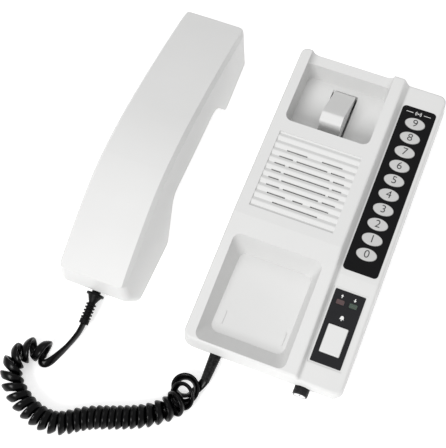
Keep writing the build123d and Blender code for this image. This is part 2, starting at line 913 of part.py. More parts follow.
def call_switch():
    """The push switch under the call button."""
    distance = button_start + button_length / 2
    low = -call_board_depth
    body = call_block(switch_size, switch_size, distance, low, low + switch_height, switch_corner)
    return body + call_post(0, distance, switch_plunger_radius, low, low + switch_height + switch_plunger)


def main_board():
    """The board under the number keys."""
    low = board_top - board_thickness
    board = brick(board_left_x, board_right_x, board_near_y, board_far_y, low, board_top)
    return board - [post(x, y, board_top - board_thickness, board_top, board_screw_radius)
                    for x, y in board_post_places()]


def board_screws():
    """Small screws up through the two boards into their posts."""
    screws = []
    low = board_top - board_thickness
    for x, y in board_post_places():
        shank = post(x, y, low, low + board_thickness + board_screw_bite, board_screw_radius)
        screws.append(shank + post(x, y, low - board_screw_head, low, board_screw_head_radius))
    low = -call_board_depth - board_thickness
    for x, distance in call_post_places():
        shank = call_post(x, distance, board_screw_radius, low, low + board_thickness + board_screw_bite)
        screws.append(shank + call_post(x, distance, board_screw_head_radius, low - board_screw_head, low))
    return screws


def key_mat():
    """The rubber mat with a hollow dome for each key."""
    far = key_y(0) + mat_margin
    near = key_y(key_count - 1) - mat_margin
    mat = brick(key_x - mat_width / 2, key_x + mat_width / 2, near, far, board_top, board_top + mat_thickness)
    top = board_top + mat_thickness
    for index in range(key_count):
        mat += post(key_x, key_y(index), board_top, top + dome_height, dome_radius)
    for index in range(key_count):
        mat -= post(key_x, key_y(index), board_top, top + dome_height - dome_wall, dome_radius - dome_wall)
    return mat


def key_contacts():
    """The conductive pill in the roof of each dome."""
    roof = board_top + mat_thickness + dome_height - dome_wall
    return [post(key_x, key_y(index), roof - pill_height, roof, pill_radius) for index in range(key_count)]


def board_parts():
    """Chips and capacitors on the main board's underside."""
    low = board_top - board_thickness
    parts = []
    for x, y, width, length, height in chip_places:
        parts.append(brick(x - width / 2, x + width / 2, y - length / 2, y + length / 2, low - height, low))
    for x, y, radius, height in capacitor_places:
        parts.append(post(x, y, low - height, low, radius))
    return parts


def radio_module():
    """The radio board on two ledges of the floor, with its shield can."""
    floor_top = foot_height + lower_wall
    left = radio_x - radio_width / 2
    near = radio_y - radio_length / 2
    board_low = floor_top + radio_standoff
    board = brick(left, left + radio_width, near, near + radio_length, board_low, board_low + board_thickness)
    can_low = board_low + board_thickness
    can = brick(left + radio_margin, left + radio_width - radio_margin, near + radio_margin,
                near + radio_length - radio_margin, can_low, can_low + radio_can_height)
    legs = [post(x, y, floor_top, board_low, radio_leg_radius)
            for x in (left + radio_margin, left + radio_width - radio_margin)
            for y in (near + radio_margin, near + radio_length - radio_margin)]
    return board + can + legs


def antenna_rod():
    """The loaded antenna: a coated rod lying along the left wall, plugged into the radio board's edge."""
    near = radio_y + radio_length / 2
    height = foot_height + lower_wall + radio_standoff + board_thickness / 2
    return rod_y(radio_x, near, near + antenna_length, height, antenna_radius)


def speaker_seat():
    """Height of the plate that the speaker hangs from."""
    return cradle_height - case_wall - grille_backing


def speaker_frame():
    """The speaker's flanged basket."""
    top = speaker_seat()
    low = top - speaker_depth
    x, y = cradle_centre_x, grille_centre_y
    flange = post(x, y, top - speaker_flange, top, speaker_radius)
    basket_top = speaker_radius - speaker_flange_width
    height = speaker_depth - speaker_flange
    seat = (Align.CENTER, Align.CENTER, Align.MIN)
    outer = Pos(x, y, low) * Cone(magnet_radius, basket_top, height, align=seat)
    inner = Pos(x, y, low + basket_wall) * Cone(magnet_radius - basket_wall, basket_top - basket_wall, height,
                                                align=seat)
    return flange + outer - inner - post(x, y, top - speaker_flange - 1, top, basket_top - basket_wall)


def speaker_cone():
    """The paper cone inside the basket."""
    top = speaker_seat() - cone_drop
    x, y = cradle_centre_x, grille_centre_y
    wide = speaker_radius - speaker_flange_width - basket_wall - cone_gap
    seat = (Align.CENTER, Align.CENTER, Align.MAX)
    outer = Pos(x, y, top) * Cone(cone_throat, wide, cone_depth, align=seat)
    inner_sizes = (cone_throat - cone_wall, wide - cone_wall, cone_depth - cone_wall)
    inner = Pos(x, y, top) * Cone(*inner_sizes, align=seat)
    return outer - inner


def speaker_magnet():
    """The magnet on the back of the basket."""
    top = speaker_seat() - speaker_depth
    magnet = post(cradle_centre_x, grille_centre_y, top - magnet_height, top, magnet_radius)
    rim = magnet.edges().filter_by_position(Axis.Z, top - magnet_height - 0.1, top - magnet_height + 0.1)
    return chamfer(rim, magnet_chamfer)


def speaker_clamps():
    """Three clips that hold the speaker's flange up against the plate."""
    top = speaker_seat()
    clamps = []
    for angle in clamp_angles:
        place = Pos(cradle_centre_x, grille_centre_y, 0) * Rot(0, 0, angle)
        root = place * brick(speaker_radius + clamp_gap, speaker_radius + clamp_gap + clamp_root,
                             -clamp_width / 2, clamp_width / 2, top - speaker_flange, top)
        toe = place * brick(speaker_radius - clamp_toe, speaker_radius + clamp_gap + clamp_root,
                            -clamp_width / 2, clamp_width / 2, top - speaker_flange - clamp_thickness,
                            top - speaker_flange)
        clamps.append(root + toe)
    return clamps


def hook_lever():
    """The lever the handset presses: a wedge standing in the slot, an arm under the floor and a knuckle."""
    half = hook_width / 2
    wedge = [
        (hook_far_y, hook_skirt),
        (hook_far_y, hook_heel_height),
        (hook_crest_y, hook_crest_height),
        (hook_near_y, hook_crest_height - hook_front_drop),
        (hook_near_y, hook_skirt),
    ]
    body = side_prism(wedge, slot_centre_x - half, slot_centre_x + half)
    crest = body.edges().filter_by(Axis.X).filter_by_position(Axis.Z, hook_crest_height - 2 * hook_front_drop,
                                                             hook_crest_height + 1)
    body = fillet(crest, hook_round)
    arm = [
        (hook_far_y - hook_arm_reach, hook_skirt),
        (hook_far_y, hook_skirt),
        (hook_far_y, hook_pin_z + hook_knuckle_radius - hook_arm_ease),
        (hook_pin_y, hook_pin_z + hook_knuckle_radius - hook_arm_ease),
        (hook_pin_y, hook_pin_z - hook_knuckle_radius + hook_arm_ease),
        (hook_far_y - hook_knuckle_radius / 2, hook_pin_z - hook_knuckle_radius + hook_arm_ease),
    ]
    body += side_prism(arm, slot_centre_x - half, slot_centre_x + half)
    body += rod_x(slot_centre_x - half, slot_centre_x + half, hook_pin_y, hook_pin_z, hook_knuckle_radius)
    room = half - hook_spring_room
    body -= rod_x(slot_centre_x - room, slot_centre_x + room, hook_pin_y, hook_pin_z,
                  hook_knuckle_radius + hook_arm_ease)
    return body - rod_x(slot_centre_x - half, slot_centre_x + half, hook_pin_y, hook_pin_z,
                        hook_pin_radius + hook_pin_fit)


def hook_pin():
    """The steel pin through the hook's ears."""
    reach = hook_width / 2 + hook_knuckle_gap + hook_ear_thickness
    return rod_x(slot_centre_x - reach, slot_centre_x + reach, hook_pin_y, hook_pin_z, hook_pin_radius)


def hook_spring():
    """The wire spring coiled round the pin between the lever's knuckles."""
    pitch = hook_spring_wire + hook_spring_gap
    radius = hook_pin_radius + hook_spring_wire / 2 + hook_spring_gap
    start = slot_centre_x - pitch * hook_spring_coils / 2

    def place(turn):
        angle = 2 * pi * turn
        y = hook_pin_y + radius * cos(angle)
        return Vector(start + pitch * turn, y, hook_pin_z + radius * sin(angle))

    steps = [place(turn / 4) for turn in range(4 * hook_spring_coils + 1)]
    headings = [heading_of(place, turn / 4) for turn in range(4 * hook_spring_coils + 1)]
    return tube_through(steps, headings, hook_spring_wire)


def hook_switch():
    """The microswitch on the floor under the lever."""
    floor_top = foot_height + lower_wall
    left = slot_centre_x - hook_switch_width / 2
    near = hook_switch_y - hook_switch_length / 2
    body = brick(left, left + hook_switch_width, near, near + hook_switch_length, floor_top,
                 floor_top + hook_switch_height)
    plunger_top = floor_top + hook_switch_height + hook_switch_plunger
    return body + post(slot_centre_x, hook_switch_y, floor_top, plunger_top, switch_plunger_radius)


def front_wall_y():
    """Outer face of the lower shell's front wall."""
    return -base_length / 2 + lower_inset


def volume_control():
    """The potentiometer behind the front wall, with its threaded bush through the wall."""
    wall = front_wall_y() + lower_wall
    half = volume_body / 2
    body = brick(knob_x - half, knob_x + half, wall, wall + volume_body, knob_height - volume_drop,
                 knob_height - volume_drop + volume_body)
    bush = rod_y(knob_x, front_wall_y(), wall + 1, knob_height, volume_bush_radius)
    bore_radius = knob_shaft_radius + volume_fit
    bore = rod_y(knob_x, front_wall_y() - 1, wall + volume_body - 1, knob_height, bore_radius)
    return body + bush - bore


def volume_shaft():
    """The shaft that the knob turns in the potentiometer."""
    near = front_wall_y() - knob_gap - knob_length + knob_cap_depth
    far = front_wall_y() + lower_wall + volume_body - 1 - volume_end_gap
    return rod_y(knob_x, near, far, knob_height, knob_shaft_radius)


def volume_knob():
    """The fluted black knob."""
    far = front_wall_y() - knob_gap
    near = far - knob_length
    knob = rod_y(knob_x, near, far, knob_height, knob_radius)
    front_edge = knob.edges().filter_by_position(Axis.Y, near - 0.1, near + 0.1)
    knob = chamfer(front_edge, knob_chamfer)
    for step in range(knob_flutes):
        angle = 2 * pi * step / knob_flutes
        x = knob_x + knob_radius * cos(angle)
        z = knob_height + knob_radius * sin(angle)
        knob -= rod_y(x, near + knob_chamfer, far, z, knob_flute_radius)
    knob -= rod_y(knob_x, near + knob_cap_depth, far, knob_height, knob_shaft_radius)
    return knob - rod_y(knob_x, near, near + knob_cap_depth, knob_height, knob_cap_radius)


def knob_cap():
    """The bright cap in the knob's end, with a slot that shows its setting."""
    near = front_wall_y() - knob_gap - knob_length
    cap = rod_y(knob_x, near, near + knob_cap_depth, knob_height, knob_cap_radius)
    half = knob_pointer_width / 2
    return cap - brick(knob_x - half, knob_x + half, near, near + knob_pointer_depth, knob_height,
                       knob_height + knob_cap_radius)


def power_jack():
    """The supply socket at the back end."""
    back = -front_wall_y()
    half = jack_width / 2
    body = brick(jack_x - half, jack_x + half, back - lower_wall - jack_length, back - lower_wall,
                 foot_height + lower_wall, jack_height + jack_width / 2)
    nose = rod_y(jack_x, back - lower_wall - 1, back - jack_sink, jack_height, jack_nose_radius)
    bore = rod_y(jack_x, back - jack_depth, back, jack_height, jack_bore_radius)
    pin = rod_y(jack_x, back - jack_depth - 1, back - jack_pin_sink, jack_height, jack_pin_radius)
    return body + nose - bore + pin


def base_cord_sleeve():
    """The black sleeve the cord comes out of, clipped in the front wall and drooping to its tip."""
    outer = front_wall_y()
    inner = outer + lower_wall
    neck = rod_y(sleeve_x, outer - sleeve_flange, inner + sleeve_flange, sleeve_height, sleeve_root_radius)
    clip = rod_y(sleeve_x, inner, inner + sleeve_flange, sleeve_height, sleeve_flange_radius)
    start = Vector(sleeve_x, outer - sleeve_flange, sleeve_height)
    tip = Vector(*sleeve_tip)
    root_plane = Plane(origin=start, x_dir=(1, 0, 0), z_dir=(0, -1, 0))
    tip_plane = Plane(origin=tip, x_dir=(1, 0, 0), z_dir=base_lead_heading())
    taper = loft([root_plane * Circle(sleeve_root_radius), tip_plane * Circle(sleeve_tip_radius)], ruled=True)
    return neck + clip + taper


def base_lead_heading():
    """Direction in which the cord leaves the base's sleeve."""
    return (Vector(*base_lead_points[1]) - Vector(*base_lead_points[0])).normalized()


def arch(inset):
    """The handset's long form: its section turned along two arcs each way from the top of the back."""
    half = side_lean * (handset_section_depth - shoulder_drop) + shoulder_half
    corners = [
        (-flat_half, 0),
        (-shoulder_half, -shoulder_drop),
        (-half, -handset_section_depth),
        (half, -handset_section_depth),
        (shoulder_half, -shoulder_drop),
        (flat_half, 0),
    ]
    section = outline(corners)
    if inset:
        section = offset(section, -inset, kind=Kind.INTERSECTION)
    pieces = []
    for side, arcs in ((1, ear_arcs), (-1, mouth_arcs)):
        y, z, heading = arch_peak_y, arch_peak_z, 0.0
        for radius, turn in arcs:
            plane = Plane(origin=(handset_x, y, z), x_dir=(-side, 0, 0),
                          z_dir=(0, side * cos(heading), sin(heading)))
            centre_y = y + radius * side * sin(heading)
            centre_z = z - radius * cos(heading)
            axis = Axis((handset_x, centre_y, centre_z), (-side, 0, 0))
            pieces.append(revolve(plane * section, axis=axis, revolution_arc=turn))
            heading -= radians(turn)
            y = centre_y - radius * side * sin(heading)
            z = centre_z + radius * cos(heading)
    return pieces[0] + pieces[1:]


def handset_side(inset):
    """The handset seen from the side: two caps that touch the table, an arched grip and two leaning ends."""
    points = [corner[:2] for corner in handset_outline]
    radii = [corner[2] for corner in handset_outline]
    face = make_face(FilletPolyline(*points, radius=radii, close=True))
    if inset:
        face = offset(face, -inset)
    reach = handset_half_width + 1
    plane = Plane(origin=(handset_x - reach, 0, 0), x_dir=(0, 1, 0), z_dir=(1, 0, 0))
    return extrude(plane * face, amount=2 * reach)


def handset_body(inset):
    """The whole handset as one block, or the room inside its walls."""
    return arch(inset) & handset_side(inset)


def handset_outer():
    """The handset's block with the upright corners of its two ends rounded."""
    body = handset_body(0)
    for side in (1, -1):
        body = fillet(end_corners(body, side), end_corner)
    return body


def end_corners(body, side):
    """The upright corner edges of the ear end (side 1) or the mouth end (side -1)."""
    reach = handset_outline[1][0] if side > 0 else -mouth_cap_near_y
    picked = []
    for edge in body.edges():
        box = edge.bounding_box()
        upright = box.size.Z > corner_least_rise and box.size.X < end_corner
        if upright and side * box.center().Y > reach:
            picked.append(edge)
    return picked


def above_parting():
    """Everything above the joint between the handset's two shells."""
    profile = [(base_length, 0)] + list(handset_joint) + [(-base_length, 0), (-base_length, base_length)]
    profile.append((base_length, base_length))
    return side_prism(profile, handset_x - base_width, handset_x + base_width)


def handset_posts():
    """Where the two handset screws stand: under each cap."""
    return [ear_screw_y, mouth_screw_y]


def handset_shells():
    """The handset's back and front shells, with screw posts, sound holes and the cord's exit."""
    outer = handset_outer()
    shell = outer - handset_body(handset_wall)
    wall_middle = handset_body(handset_wall / 2)
    upper = above_parting()
    back = shell & upper
    front = shell - upper
    for y in handset_posts():
        back += post(handset_x, y, handset_post_joint, arch_peak_z, handset_post_radius) & wall_middle
        front += post(handset_x, y, handset_wall / 2, handset_post_joint, handset_post_radius)
    for y in handset_posts():
        front -= post(handset_x, y, 0, handset_screw_seat, screw_head_radius + screw_clearance)
        front -= post(handset_x, y, 0, handset_post_joint, screw_radius + screw_clearance)
        back -= post(handset_x, y, handset_post_joint, handset_screw_seat + screw_length, screw_radius)
    front -= sound_holes(ear_capsule_y, ear_hole_ring, ear_holes)
    front -= sound_holes(mic_y, mic_hole_ring, mic_holes)
    front -= relief_neck()
    return back, front


def sound_holes(y, ring, count):
    """A ring of small holes round a middle one."""
    holes = [post(handset_x, y, -1, handset_wall + 1, sound_hole_radius)]
    for step in range(count):
        angle = 2 * pi * step / count
        holes.append(post(handset_x + ring * cos(angle), y + ring * sin(angle), -1, handset_wall + 1,
                          sound_hole_radius))
    return holes


def handset_screws():
    """The two screws up through the caps."""
    screws = []
    for y in handset_posts():
        shank = post(handset_x, y, handset_screw_seat, handset_screw_seat + screw_length, screw_radius)
        head_low = handset_screw_seat - screw_head_height
        head = post(handset_x, y, head_low, handset_screw_seat, screw_head_radius)
        screws.append(shank + head)
    return screws


def ear_seal():
    """The foam ring under the ear capsule."""
    ring = post(handset_x, ear_capsule_y, handset_wall, handset_wall + seal_height, capsule_radius)
    return ring - post(handset_x, ear_capsule_y, handset_wall, handset_wall + seal_height, seal_inner_radius)


def ear_capsule():
    """The receiver capsule."""
    low = handset_wall + seal_height
    capsule = post(handset_x, ear_capsule_y, low, low + capsule_height, capsule_radius)
    return capsule + post(handset_x, ear_capsule_y, low, low + capsule_height + capsule_back,
                          capsule_radius / 2)


def mic_capsule():
    """The microphone capsule."""
    return post(handset_x, mic_y, handset_wall + mic_lift, handset_wall + mic_lift + mic_height, mic_radius)


def mic_holder():
    """The rubber cup that holds the microphone."""
    high = handset_wall + mic_lift + mic_height
    cup = post(handset_x, mic_y, handset_wall, high, mic_radius + mic_rubber)
    cup -= post(handset_x, mic_y, handset_wall + mic_lift, high, mic_radius)
    return cup - post(handset_x, mic_y, handset_wall, handset_wall + mic_lift, mic_radius / 2)


def ballast_weight():
    """The steel bar on the grip's floor that gives the handset its weight."""
    start, end = handset_outline[grip_corners]
    lean = atan((start[1] - end[1]) / (start[0] - end[0]))
    y = (start[0] + end[0]) / 2
    z = (start[1] + end[1]) / 2
    rise = handset_wall + ballast_air
    plane = Plane(origin=(handset_x, y - rise * sin(lean), z + rise * cos(lean)), x_dir=(1, 0, 0),
                  z_dir=(0, -sin(lean), cos(lean)))
    plan = RectangleRounded(ballast_width, ballast_length, ballast_corner)
    return extrude(plane * plan, amount=ballast_thickness)


def relief_root():
    """Where the strain relief's axis meets the mouth end."""
    low, high = handset_outline[mouth_wall_corners]
    share = (relief_height - low[1]) / (high[1] - low[1])
    return Vector(handset_x, low[0] + share * (high[0] - low[0]), relief_height)


def relief_heading():
    """The strain relief's axis, from the handset towards the cord."""
    return (Vector(*lead_points[0]) - relief_root()).normalized()


def relief_neck():
    """The neck that passes through the mouth end's wall."""
    heading = relief_heading()
    start = relief_root() - heading * 3 * handset_wall
    plane = Plane(origin=start, x_dir=(1, 0, 0), z_dir=heading)
    return extrude(plane * Circle(relief_neck_radius), amount=3 * handset_wall + relief_flange / 2)


def handset_strain_relief():
    """The black strain relief: a flange on the wall, a cone, a ribbed neck and a collar."""
    root = relief_root()
    heading = relief_heading()
    length = (Vector(*lead_points[0]) - root).length
    profile = [(0, 0), (relief_flange_radius, 0), (relief_flange_radius, relief_flange)]
    profile += [(relief_cone_radius, relief_flange), (relief_core_radius, relief_cone_end)]
    for rib in range(relief_ribs):
        low = relief_cone_end + relief_rib_pitch * (rib + relief_rib_share)
        profile.append((relief_core_radius, low))
        profile.append((relief_rib_radius, low))
        profile.append((relief_rib_radius, low + relief_rib_pitch * relief_rib_share))
        profile.append((relief_core_radius, low + relief_rib_pitch * relief_rib_share))
    collar = length - relief_collar
    profile += [(relief_core_radius, collar), (relief_collar_radius, collar), (relief_collar_radius, length)]
    profile.append((0, length))
    body = revolve(Plane.XZ * outline(profile), axis=Axis.Z)
    low, high = handset_outline[mouth_wall_corners]
    wall_lean = atan((high[0] - low[0]) / (high[1] - low[1]))
    body = Plane(origin=root, x_dir=(1, 0, 0), z_dir=heading) * body
    keep = Plane(origin=root, x_dir=(1, 0, 0), z_dir=(0, -cos(wall_lean), sin(wall_lean)))
    body &= extrude(keep * Rectangle(base_width, base_width), amount=base_width)
    return body + relief_neck()


def heading_of(place, at):
    """Direction of travel of a curve given as a function, by a small step each way."""
    step = 1e-4
    return (place(at + step) - place(at - step)).normalized()


def biarc(start, start_heading, end, end_heading):
    """Two arcs that leave start and reach end along the given headings."""
    chord = end - start
    both = start_heading + end_heading
    spread = 2 * (1 - start_heading.dot(end_heading))
    along = chord.dot(both)
    if spread < 1e-9:
        reach = chord.dot(chord) / (2 * along)
    else:
        reach = (sqrt(along ** 2 + spread * chord.dot(chord)) - along) / spread
    middle = (start + end + (start_heading - end_heading) * reach) / 2
    middle_heading = (middle - start - start_heading * reach).normalized()
    return [
        Edge.make_tangent_arc(start, start_heading, middle),
        Edge.make_tangent_arc(middle, middle_heading, end),
    ]


def tube_through(points, headings, diameter, tails=(0, 0)):
    """A round tube along biarcs through points, with a straight tail at each end."""
    edges = []
    if tails[0]:
        edges.append(Edge.make_line(points[0] - headings[0] * tails[0], points[0]))
    for index in range(len(points) - 1):
        edges += biarc(points[index], headings[index], points[index + 1], headings[index + 1])
    if tails[1]:
        edges.append(Edge.make_line(points[-1], points[-1] + headings[-1] * tails[1]))
    path = Wire(edges)
    start = Plane(origin=points[0] - headings[0] * tails[0], z_dir=headings[0])
    radii = [edge.radius for edge in edges if edge.geom_type == GeomType.CIRCLE]
    print("tube", diameter, "length", round(path.length, 1), "least radius", round(min(radii), 2))
    return sweep(start * Circle(diameter / 2), path=path)


def lead_tube(points):
    """A free stretch of cord: straight runs joined by the largest arcs they allow."""
    radii = []
    for before, corner, after in zip(points, points[1:], points[2:]):
        first = Vector(*corner) - Vector(*before)
        second = Vector(*after) - Vector(*corner)
        half_turn = radians(first.get_angle(second)) / 2
        radii.append(lead_bend_share * min(first.length, second.length) / tan(half_turn))
    path = FilletPolyline(*points, radius=radii)
    print("lead radii", [round(radius, 1) for radius in radii], "length", round(path.length, 1))
    start = Plane(origin=points[0], z_dir=Vector(*points[1]) - Vector(*points[0]))
    return sweep(start * Circle(cord_diameter / 2), path=path)


def coil_table(line):
    """The parameter, the turns so far, the radius and the lean, in small steps along the centre line."""
    marks = [line.param_at_point(point[:3]) for point in coil_points]
    pitches = [point[3] for point in coil_points]
    radii = [point[4] for point in coil_points]
    leans = [point[5] for point in coil_points]
    rows = [(0.0, 0.0, radii[0], leans[0])]
    for step in range(1, coil_steps + 1):
        share = step / coil_steps
        stride = ((line @ share) - (line @ (share - 1 / coil_steps))).length
        turns = rows[-1][1] + stride / between(marks, pitches, share)
        rows.append((share, turns, between(marks, radii, share), between(marks, leans, share)))
    return rows


def between(marks, values, at):
    """Straight-line reading of a table."""
    for low, high, first, second in zip(marks, marks[1:], values, values[1:]):
        if at <= high:
            return first + (second - first) * (at - low) / (high - low)
    return values[-1]


def curly_cord():
    """The curly cord: one tube wound left-handed round a centre line, its last turns leaning over."""
    line = Spline(*[point[:3] for point in coil_points])
    rows = coil_table(line)
    shares, turns, radii, leans = zip(*rows)
    whole = round(turns[-1])
    scale = whole / turns[-1]
    marks = [turn * scale for turn in turns]

    def place(turn):
        share = min(1.0, max(0.0, between(marks, shares, turn)))
        radius = between(marks, radii, turn)
        lean = radians(between(marks, leans, turn))
        along = line % share
        left = Vector(-along.Y, along.X, 0).normalized()
        up = along.cross(left) * cos(lean) - along * sin(lean)
        angle = pi + 2 * pi * turn
        return (line @ share) + (up * cos(angle) + left * sin(angle)) * radius

    count = round(4 * whole)
    points = [place(quarter / 4) for quarter in range(count + 1)]
    headings = [heading_of(place, quarter / 4) for quarter in range(count + 1)]
    lead_end, lead_heading = end_of_run(lead_points[-2], lead_points[-1])
    base_end, base_heading = end_of_run(base_lead_points[-2], base_lead_points[-1])
    points = [lead_end + lead_heading * cord_diameter] + points + [base_end + base_heading * cord_diameter]
    headings = [lead_heading] + headings + [base_heading * -1]
    print("coil turns", whole, "least gap", round(least_gap(place, whole), 2))
    return tube_through(points, headings, cord_diameter, tails=(cord_diameter, cord_diameter))


def end_of_run(before, last):
    """A route's last point and its direction there."""
    end = Vector(*last)
    return end, (end - Vector(*before)).normalized()


def least_gap(place, whole):
    """The least gap between the coil's turns, measured on points."""
    steps = round(whole * gap_steps)
    dots = [place(step / gap_steps) for step in range(steps + 1)]
    least = base_length
    for index, dot in enumerate(dots):
        for other in dots[index + gap_steps // 2:index + 4 * gap_steps]:
            least = min(least, (other - dot).length)
    return least - cord_diameter


def main():
    """Write one file for each node."""
    back, front = handset_shells()
    nodes = {
        "base_top_shell": base_top_shell(),
        "base_bottom_shell": base_bottom_shell(),
        "rubber_feet": rubber_feet(),
        "case_screws": case_screws(),
        "key_label": key_label(),
        "call_label": call_label(),
        "call_button": call_button(),
        "tx_lamp_lens": lamp_lens(lamp_x[0]),
        "rx_lamp_lens": lamp_lens(lamp_x[1]),
        "lamp_leds": lamp_leds(),
        "call_board": call_board(),
        "call_switch": call_switch(),
        "main_board": main_board(),
        "board_screws": board_screws(),
        "key_mat": key_mat(),
        "key_contacts": key_contacts(),
        "board_parts": board_parts(),
        "radio_module": radio_module(),
        "antenna_rod": antenna_rod(),
        "speaker_frame": speaker_frame(),
        "speaker_cone": speaker_cone(),
        "speaker_magnet": speaker_magnet(),
        "speaker_clamps": speaker_clamps(),
        "hook_lever": hook_lever(),
        "hook_pin": hook_pin(),
        "hook_spring": hook_spring(),
        "hook_switch": hook_switch(),
        "volume_control": volume_control(),
        "volume_shaft": volume_shaft(),
        "volume_knob": volume_knob(),
        "knob_cap": knob_cap(),
        "power_jack": power_jack(),
        "base_cord_sleeve": base_cord_sleeve(),
        "handset_back_shell": back,
        "handset_front_shell": front,
        "handset_screws": handset_screws(),
        "ear_seal": ear_seal(),
        "ear_capsule": ear_capsule(),
        "mic_capsule": mic_capsule(),
        "mic_holder": mic_holder(),
        "ballast_weight": ballast_weight(),
        "handset_strain_relief": handset_strain_relief(),
        "handset_lead": lead_tube(lead_points),
        "curly_cord": curly_cord(),
        "base_lead": lead_tube(base_lead_points),
    }
    for index in range(key_count):
        digit = (key_count - 1 - index) % 10
        nodes[f"key_{digit}"] = number_key(index)
    os.makedirs("parts", exist_ok=True)
    for name, shape in nodes.items():
        if isinstance(shape, (list, ShapeList)):
            shape = Compound(children=[solid for piece in shape for solid in piece.solids()])
        export_step(shape, f"parts/{name}.step")


main()
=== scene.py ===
"""Looks of a desk intercom: white moulded base and handset, black labels, number keys and a curly cord.

Metres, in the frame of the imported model: +X towards the key strip, +Y towards the earpiece end, +Z up.
"""
from math import cos, pi, radians, sin, tan

import bpy
import numpy as np
from mathutils import Matrix, Vector


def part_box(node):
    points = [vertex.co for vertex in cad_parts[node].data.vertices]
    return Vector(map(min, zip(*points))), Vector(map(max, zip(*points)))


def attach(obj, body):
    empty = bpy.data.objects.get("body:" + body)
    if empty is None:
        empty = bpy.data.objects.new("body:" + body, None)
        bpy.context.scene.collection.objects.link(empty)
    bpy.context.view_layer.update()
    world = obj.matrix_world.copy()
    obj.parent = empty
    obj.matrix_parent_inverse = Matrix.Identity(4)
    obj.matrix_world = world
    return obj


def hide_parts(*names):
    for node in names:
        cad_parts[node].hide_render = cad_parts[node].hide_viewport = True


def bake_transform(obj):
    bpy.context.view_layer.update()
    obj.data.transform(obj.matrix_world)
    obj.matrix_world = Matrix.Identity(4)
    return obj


bl_info = {
    "name": "Desk intercom looks",
    "version": (1, 0, 0),
    "blender": (4, 5, 0),
    "location": "3D View > Sidebar > Intercom",
    "description": "Materials, printed marks, cord and stage of a desk intercom",
    "category": "Object",
}

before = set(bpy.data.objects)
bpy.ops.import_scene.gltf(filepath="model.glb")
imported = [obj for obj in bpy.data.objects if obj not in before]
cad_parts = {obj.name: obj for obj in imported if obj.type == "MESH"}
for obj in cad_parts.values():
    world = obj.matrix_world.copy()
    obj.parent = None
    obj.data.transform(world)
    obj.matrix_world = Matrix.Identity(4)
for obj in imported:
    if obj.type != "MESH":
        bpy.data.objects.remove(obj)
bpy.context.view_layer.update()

MM = 0.001

# The camera, from the perspective of the base's edges in the photograph
PICTURE_LONG_SIDE = 448
SENSOR_WIDTH = 36.0
FOCAL_PIXELS = 1105.98
CAMERA_PLACE = (0.06718, -0.28276, 0.67113)
CAMERA_FORWARD = (-0.17361516, 0.35975657, -0.91675132)
CAMERA_UP = (-0.32685562, 0.8570721, 0.39823713)

# The stage: a floor that glows a little, an even sky and two square lights aimed at the object
FLOOR_REACH = 3.0
FLOOR_GLOW = 0.5
SKY_STRENGTH = 0.56
LIGHT_TARGET = (-0.03, 0.0, 0.02)
LIGHT_SIZE = 1.0
KEY_LIGHT_PLACE = (-0.5, -2.1, 2.0)
KEY_LIGHT_POWER = 49.0
TOP_LIGHT_PLACE = (-0.25, 0.4, 1.5)
TOP_LIGHT_POWER = 4.5

# Every moulding: patches of shade and gloss per metre, the gloss's spread and the grain's strength
SHADE_PATCHES = 14.0
GLOSS_PATCHES = 60.0
GLOSS_SPREAD = 0.05
GRAIN_STRENGTH = 0.25

# How much paler the call panel's film is than the key strip's
CALL_FILM_FADING = 3.6

# Printed marks: half the ink's thickness, the call panel's slope in degrees, the share of its size that a
# digit's edge is drawn in by, and how far below its label's far edge each mark's middle lies
INK_HALF_DEPTH = 0.00002
CALL_SLOPE = 6.0
DIGIT_THINNING = 0.004
WAVE_MARK_DROP = 0.0039
LAMP_MARK_DROP = 0.0038
BELL_MARK_DROP = 0.0168

# The cord's route, in millimetres as on the drawing
LEAD_POINTS = (
    (-116.1, -117.4, 6.2),
    (-116.3, -122.4, 5.5),
    (-118.3, -129.0, 4.1),
    (-121.1, -136.0, 2.9),
    (-124.0, -142.2, 2.5),
    (-126.0, -146.2, 2.5),
    (-128.4, -149.2, 2.5),
    (-131.6, -149.4, 2.4),
    (-132.3, -147.2, 2.1),
)
BASE_LEAD_POINTS = (
    (-30.3, -123.7, 6.0),
    (-31.1, -126.2, 4.9),
    (-32.6, -128.4, 3.4),
)
